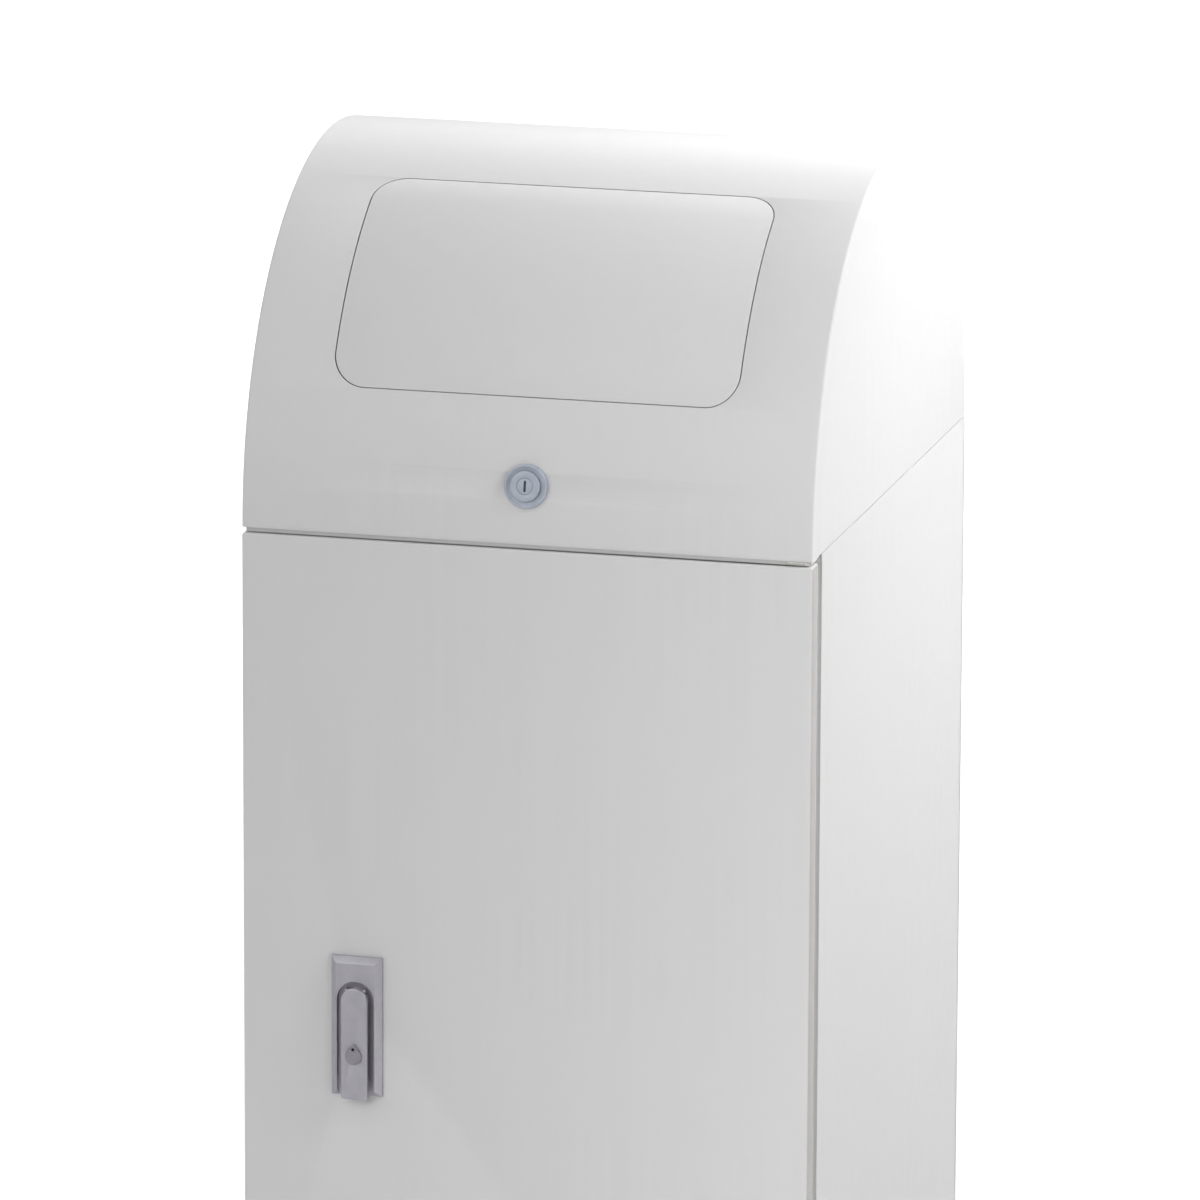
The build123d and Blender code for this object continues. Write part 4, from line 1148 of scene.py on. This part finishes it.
@dataclass
class SwingHandle:
    """The swing handle in its own frame: X right, Y up, Z out of the door, origin on the spindle."""

    fitter: Fitter
    bevel: float = 4.4 * MM
    pocket_radius: float = 13.8 * MM
    pocket_floor: float = 1.4 * MM
    shutter_radius: float = 6 * MM
    cast_edge: float = 0.5 * MM

    def __post_init__(self) -> None:
        """Read the handle's sizes from the frame."""
        self.hub = Vector(joint("latch_turn")["pos_m"])
        self.frame = along(self.hub, Vector((1, 0, 0)), Vector((0, 0, 1)))
        self.inverse = self.frame.inverted()

    def local(self, node: str) -> Zone:
        """A CAD node's box in the handle's frame.

        Args:
            node: the CAD node.

        Returns:
            The box.
        """
        zone = Zone.of(node)
        first, last = self.inverse @ zone.low, self.inverse @ zone.high
        low = Vector(min(a, b) for a, b in zip(first, last))
        high = Vector(max(a, b) for a, b in zip(first, last))
        return Zone(low, high)

    def plate(self) -> None:
        """Build the bevelled plate with its arch-topped pocket."""
        zone = self.local("handle_plate")
        plate = Bench.block("handle_base", zone.low, zone.high)
        Bench.bevel(plate, lambda mid, way: near(mid.z, zone.high.z), self.bevel, 1)
        pocket = Bench.disc("pocket_head", self.pocket_radius, self.pocket_floor, 20 * MM, 96)
        run = Bench.block(
            "pocket_run",
            (-self.pocket_radius, zone.low.y - 10 * MM, self.pocket_floor),
            (self.pocket_radius, 0, 20 * MM),
        )
        Bench.combine(plate, pocket, Mode.CUT)
        Bench.combine(plate, run, Mode.CUT)
        Bench.combine(plate, Bench.disc("plate_bore", 5.05 * MM, -MM, 10 * MM, 48), Mode.CUT)
        Bench.soften(plate, self.cast_edge, 30, 3)
        self.fitter.stand_in(Bench.place(plate, self.frame), "handle_plate")

    def lever(self) -> None:
        """Build the lever: rounded head, square foot, a knuckle under the head and the lock's bore."""
        zone = self.local("lever_grip")
        plug = self.local("lever_plug")
        radius = zone.size.x / 2
        thickness = plug.size.z
        back = zone.high.z - thickness
        Bench.clear()
        bpy.ops.mesh.primitive_circle_add(radius=radius, vertices=96, location=(0, 0, back), fill_type="NGON")
        lever = Bench.settle("swing_lever")
        Bench.half(lever, Vector((0, 0, back)), Vector((0, 1, 0)))
        Bench.pick(lever, Pick.EDGE, lambda mid, way: near(mid.y, 0, 0.3 * MM) and abs(way.x) > 0.9 and
                   abs(mid.x) < 0.2 * MM)
        bpy.ops.mesh.extrude_region_move(TRANSFORM_OT_translate={"value": (0, zone.low.y, 0)})
        bpy.ops.object.mode_set(mode="OBJECT")
        Bench.pick_all(lever)
        bpy.ops.mesh.normals_make_consistent(inside=False)
        bpy.ops.mesh.extrude_region_move(TRANSFORM_OT_translate={"value": (0, 0, thickness)})
        bpy.ops.object.mode_set(mode="OBJECT")
        Bench.pick_all(lever)
        bpy.ops.mesh.normals_make_consistent(inside=False)
        bpy.ops.mesh.dissolve_limited(angle_limit=radians(0.4))
        bpy.ops.object.mode_set(mode="OBJECT")
        Bench.bevel(lever, lambda mid, way: abs(way.z) > 0.9 and near(mid.y, zone.low.y, 0.2 * MM), 2 * MM, 5)
        Bench.bevel(
            lever, lambda mid, way: near(mid.z, zone.high.z) and abs(way.z) < 0.5 and
            (abs(mid.x) > 0.9 * radius or mid.y > -MM or mid.y < zone.low.y + 3 * MM), 1.0 * MM, 5
        )
        bore = Bench.disc("lever_bore", plug.size.x / 2 + 0.05 * MM, back - MM, zone.high.z + MM, 64)
        Bench.combine(lever, Bench.place(bore, Matrix.Translation((0, plug.mid.y, 0))), Mode.CUT)
        Bench.soften(lever, 0.2 * MM, 50, 2)
        lever = Bench.join([lever, self.knuckle(zone, back)], "swing_lever")
        self.fitter.stand_in(Bench.place(lever, self.frame), "lever_grip")

    def knuckle(self, zone: Zone, back: float) -> Piece:
        """Build the knuckle that turns on the lever pin.

        Args:
            zone: the lever's box.
            back: the lever's underside.

        Returns:
            The knuckle, bored for the pin.
        """
        pin = self.inverse @ Vector(joint("lever_pull")["pos_m"])
        radius = pin.z - zone.low.z
        half = 4.9 * MM
        knuckle = Bench.disc("lever_knuckle", radius, -half, half, 40)
        neck = Bench.block("knuckle_neck", (-radius, 0, -half), (radius, back - pin.z + 0.2 * MM, half))
        Bench.combine(knuckle, neck, Mode.JOIN)
        bore = Bench.disc("knuckle_bore", 1.05 * MM, -2 * half, 2 * half, 32)
        Bench.combine(knuckle, bore, Mode.CUT)
        Bench.soften(knuckle, 0, 40)
        # Local X of the knuckle's drawing is up, its Y is out and its Z runs along the pin.
        turned = Matrix(((0, 0, 1, pin.x), (1, 0, 0, pin.y), (0, 1, 0, pin.z), (0, 0, 0, 1)))
        return Bench.place(knuckle, turned)

    def shutter(self) -> None:
        """Build the drop-shaped key cover, with rounded edges, that hangs from the rivet."""
        zone = self.local("key_shutter")
        radius = self.shutter_radius
        centre = Vector((zone.mid.x, zone.low.y + radius, 0))
        cover = Bench.block("key_cover", (-radius, -radius, zone.low.z), (radius, radius, zone.high.z))
        Bench.place(cover, Matrix.Rotation(pi / 4, 4, "Z"))
        Bench.bevel(
            cover, lambda mid, way: abs(way.z) > 0.9 and mid.y < radius * 0.9, radius * 0.998, 16
        )
        lift = zone.high.y - centre.y - radius * 2 ** 0.5
        Bench.pick(cover, Pick.EDGE, lambda mid, way: abs(way.z) > 0.9 and mid.y > radius * 1.3)
        bpy.ops.transform.translate(value=(0, lift, 0))
        bpy.ops.object.mode_set(mode="OBJECT")
        Bench.bevel(cover, lambda mid, way: abs(way.z) > 0.9 and mid.y > radius * 1.3, 0.5 * MM, 3)
        Bench.soften(cover, 0.2 * MM, 50, 3)
        Bench.place(cover, Matrix.Translation(centre))
        self.fitter.stand_in(Bench.place(cover, self.frame), "key_shutter")
        self.fitter.palette.dress(cover, "zinc_dark")

    def rivet(self) -> None:
        """Build the key cover's domed rivet."""
        zone = self.local("shutter_rivet")
        rivet = Bench.disc("cover_rivet", 1.1 * MM, zone.low.z, zone.high.z, 32)
        cap = Bench.disc("rivet_cap", zone.size.x / 2, zone.high.z - 0.7 * MM, zone.high.z, 40)
        Bench.bevel(cap, lambda mid, way: near(mid.z, zone.high.z) and abs(way.z) < 0.5, 0.55 * MM, 4)
        Bench.soften(cap, 0)
        rivet = Bench.join([rivet, cap], "cover_rivet")
        Bench.place(rivet, Matrix.Translation((zone.mid.x, zone.mid.y, 0)))
        self.fitter.stand_in(Bench.place(rivet, self.frame), "shutter_rivet")
        self.fitter.palette.dress(rivet, "zinc_dark")

    def build(self) -> None:
        """Build the whole handle."""
        self.plate()
        self.lever()
        self.shutter()
        self.rivet()
        for node in ("spindle_hub", "lever_pin", "lever_plug"):
            self.fitter.refine(node, 0.1 * MM)


# ---------------------------------------------------------------------------- studio
@dataclass(frozen=True)
class Softbox:
    """One soft rectangular light."""

    name: str
    place: tuple[float, float, float]
    target: tuple[float, float, float]
    size: tuple[float, float]
    watts: float


@dataclass
class Studio:
    """A pale floor, soft light and the camera."""

    softboxes = (
        Softbox("right_high", (1.5, -0.4, 1.75), (0.21, 0, 0.95), (0.9, 0.9), 16.0),
        Softbox("right_hood", (0.8, 0.3, 1.35), (0.21, 0.05, 1.0), (0.4, 0.4), 4.2),
        Softbox("front_strip", (0.42, -0.62, 0.4), (0.15, -0.25, 0.4), (0.08, 1.6), 0.34),
        Softbox("door_strip", (0.3, -0.6, 0.35), (0.2, -0.25, 0.35), (0.08, 1.4), 0.6),
        Softbox("front_high", (-1.3, -5, 2.6), (0, 0, 0.9), (3.2, 3.0), 40),
        Softbox("top", (-0.3, 0.6, 2.6), (0, 0.1, 1.0), (1.8, 1.4), 10.4),
        Softbox("top_rear", (-0.1, 0.95, 1.95), (0, 0, 1.05), (2.4, 1.0), 6.8),
        Softbox("backdrop", (-1, 6, 3), (-1, 6, 0), (8, 6), 290),
        Softbox("backdrop_right", (1.2, 3.6, 2.4), (1.2, 3.6, 0), (4, 3), 74),
    )
    lens: float = 312.0
    sensor: float = 36.0
    yaw: float = 0.2512046
    pitch: float = 0.2363194
    roll: float = 0.0039907
    distance: float = 7.6617
    aim: tuple[float, float] = (-8.8 * MM, -99.2 * MM)   # across, and below the hood's split line

    def camera(self, split: float) -> None:
        """Place the camera.

        Args:
            split: height of the hood's split line.
        """
        back = Vector((sin(self.yaw) * cos(self.pitch), -cos(self.yaw) * cos(self.pitch), sin(self.pitch)))
        level = (-back).cross(Vector((0, 0, 1))).normalized()
        above = level.cross(-back)
        right = cos(self.roll) * level + sin(self.roll) * above
        up = -sin(self.roll) * level + cos(self.roll) * above
        place = Vector((self.aim[0], 0, split + self.aim[1])) + back * self.distance
        data = bpy.data.cameras.new("view")
        data.lens, data.sensor_width, data.clip_end = self.lens, self.sensor, 200
        camera = bpy.data.objects.new("view", data)
        camera.matrix_world = Matrix.Translation(place) @ Matrix((right, up, back)).transposed().to_4x4()
        bpy.context.scene.collection.objects.link(camera)
        bpy.context.scene.camera = camera

    def floor(self) -> None:
        """Lay the pale floor."""
        Bench.clear()
        bpy.ops.mesh.primitive_plane_add(size=80)
        floor = Bench.settle("floor")
        desk = NodeDesk("pale_floor")
        grain = desk.spread(desk.noise(0.4, 3), 0, 1)
        desk.feed("Base Color", desk.mix(grain, (0.93, 0.93, 0.93), (0.95, 0.95, 0.95)))
        desk.fix("Roughness", 0.9)
        floor.data.materials.append(desk.material)

    def hang(self, lamp: "Softbox") -> None:
        """Hang one softbox, unseen by the camera itself.

        Args:
            lamp: the softbox.
        """
        data = bpy.data.lights.new(lamp.name, "AREA")
        data.shape = "RECTANGLE"
        data.size, data.size_y = lamp.size
        data.energy = lamp.watts
        light = bpy.data.objects.new(lamp.name, data)
        light.location = lamp.place
        light.rotation_euler = (Vector(lamp.target) - Vector(lamp.place)).to_track_quat("-Z", "Y").to_euler()
        light.visible_camera = False
        bpy.context.scene.collection.objects.link(light)

    def sky(self, level: float, sun: float) -> None:
        """Set the even surrounding light and the broad light from the front left.

        Args:
            level: strength of the surroundings.
            sun: strength of the broad light.
        """
        world = bpy.data.worlds.new("studio")
        bpy.context.scene.world = world
        world.use_nodes = True
        shade = next(n for n in world.node_tree.nodes if n.type == "BACKGROUND")
        shade.inputs["Color"].default_value = (1, 1, 1, 1)
        shade.inputs["Strength"].default_value = level
        data = bpy.data.lights.new("broad_front", "SUN")
        data.energy = sun
        data.angle = radians(70)
        light = bpy.data.objects.new("broad_front", data)
        light.rotation_euler = Vector((0.49, 0.61, -0.62)).to_track_quat("-Z", "Y").to_euler()
        bpy.context.scene.collection.objects.link(light)

    def build(self, split: float) -> None:
        """Set up the whole studio.

        Args:
            split: height of the hood's split line.
        """
        self.camera(split)
        self.floor()
        self.sky(0.03, 1.45)
        for lamp in self.softboxes:
            self.hang(lamp)
        bpy.context.scene.view_settings.view_transform = "Standard"


def main() -> None:
    """Build every sub-assembly in order."""
    logging.basicConfig(level=logging.INFO, format="%(message)s")
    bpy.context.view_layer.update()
    palette = Palette()
    palette.dress_frame()
    fitter = Fitter(palette)
    hood = Hood(fitter)
    Studio().build(hood.split)
    hood.build()
    HoodLock(fitter).build()
    Cabinet(fitter).build()
    RearHinge(fitter).build()
    Door(fitter).build()
    SwingHandle(fitter).build()
    Bench.clear()
    LOG.info("%d pieces", len(fitter.shown))


if __name__ == "__main__":
    main()
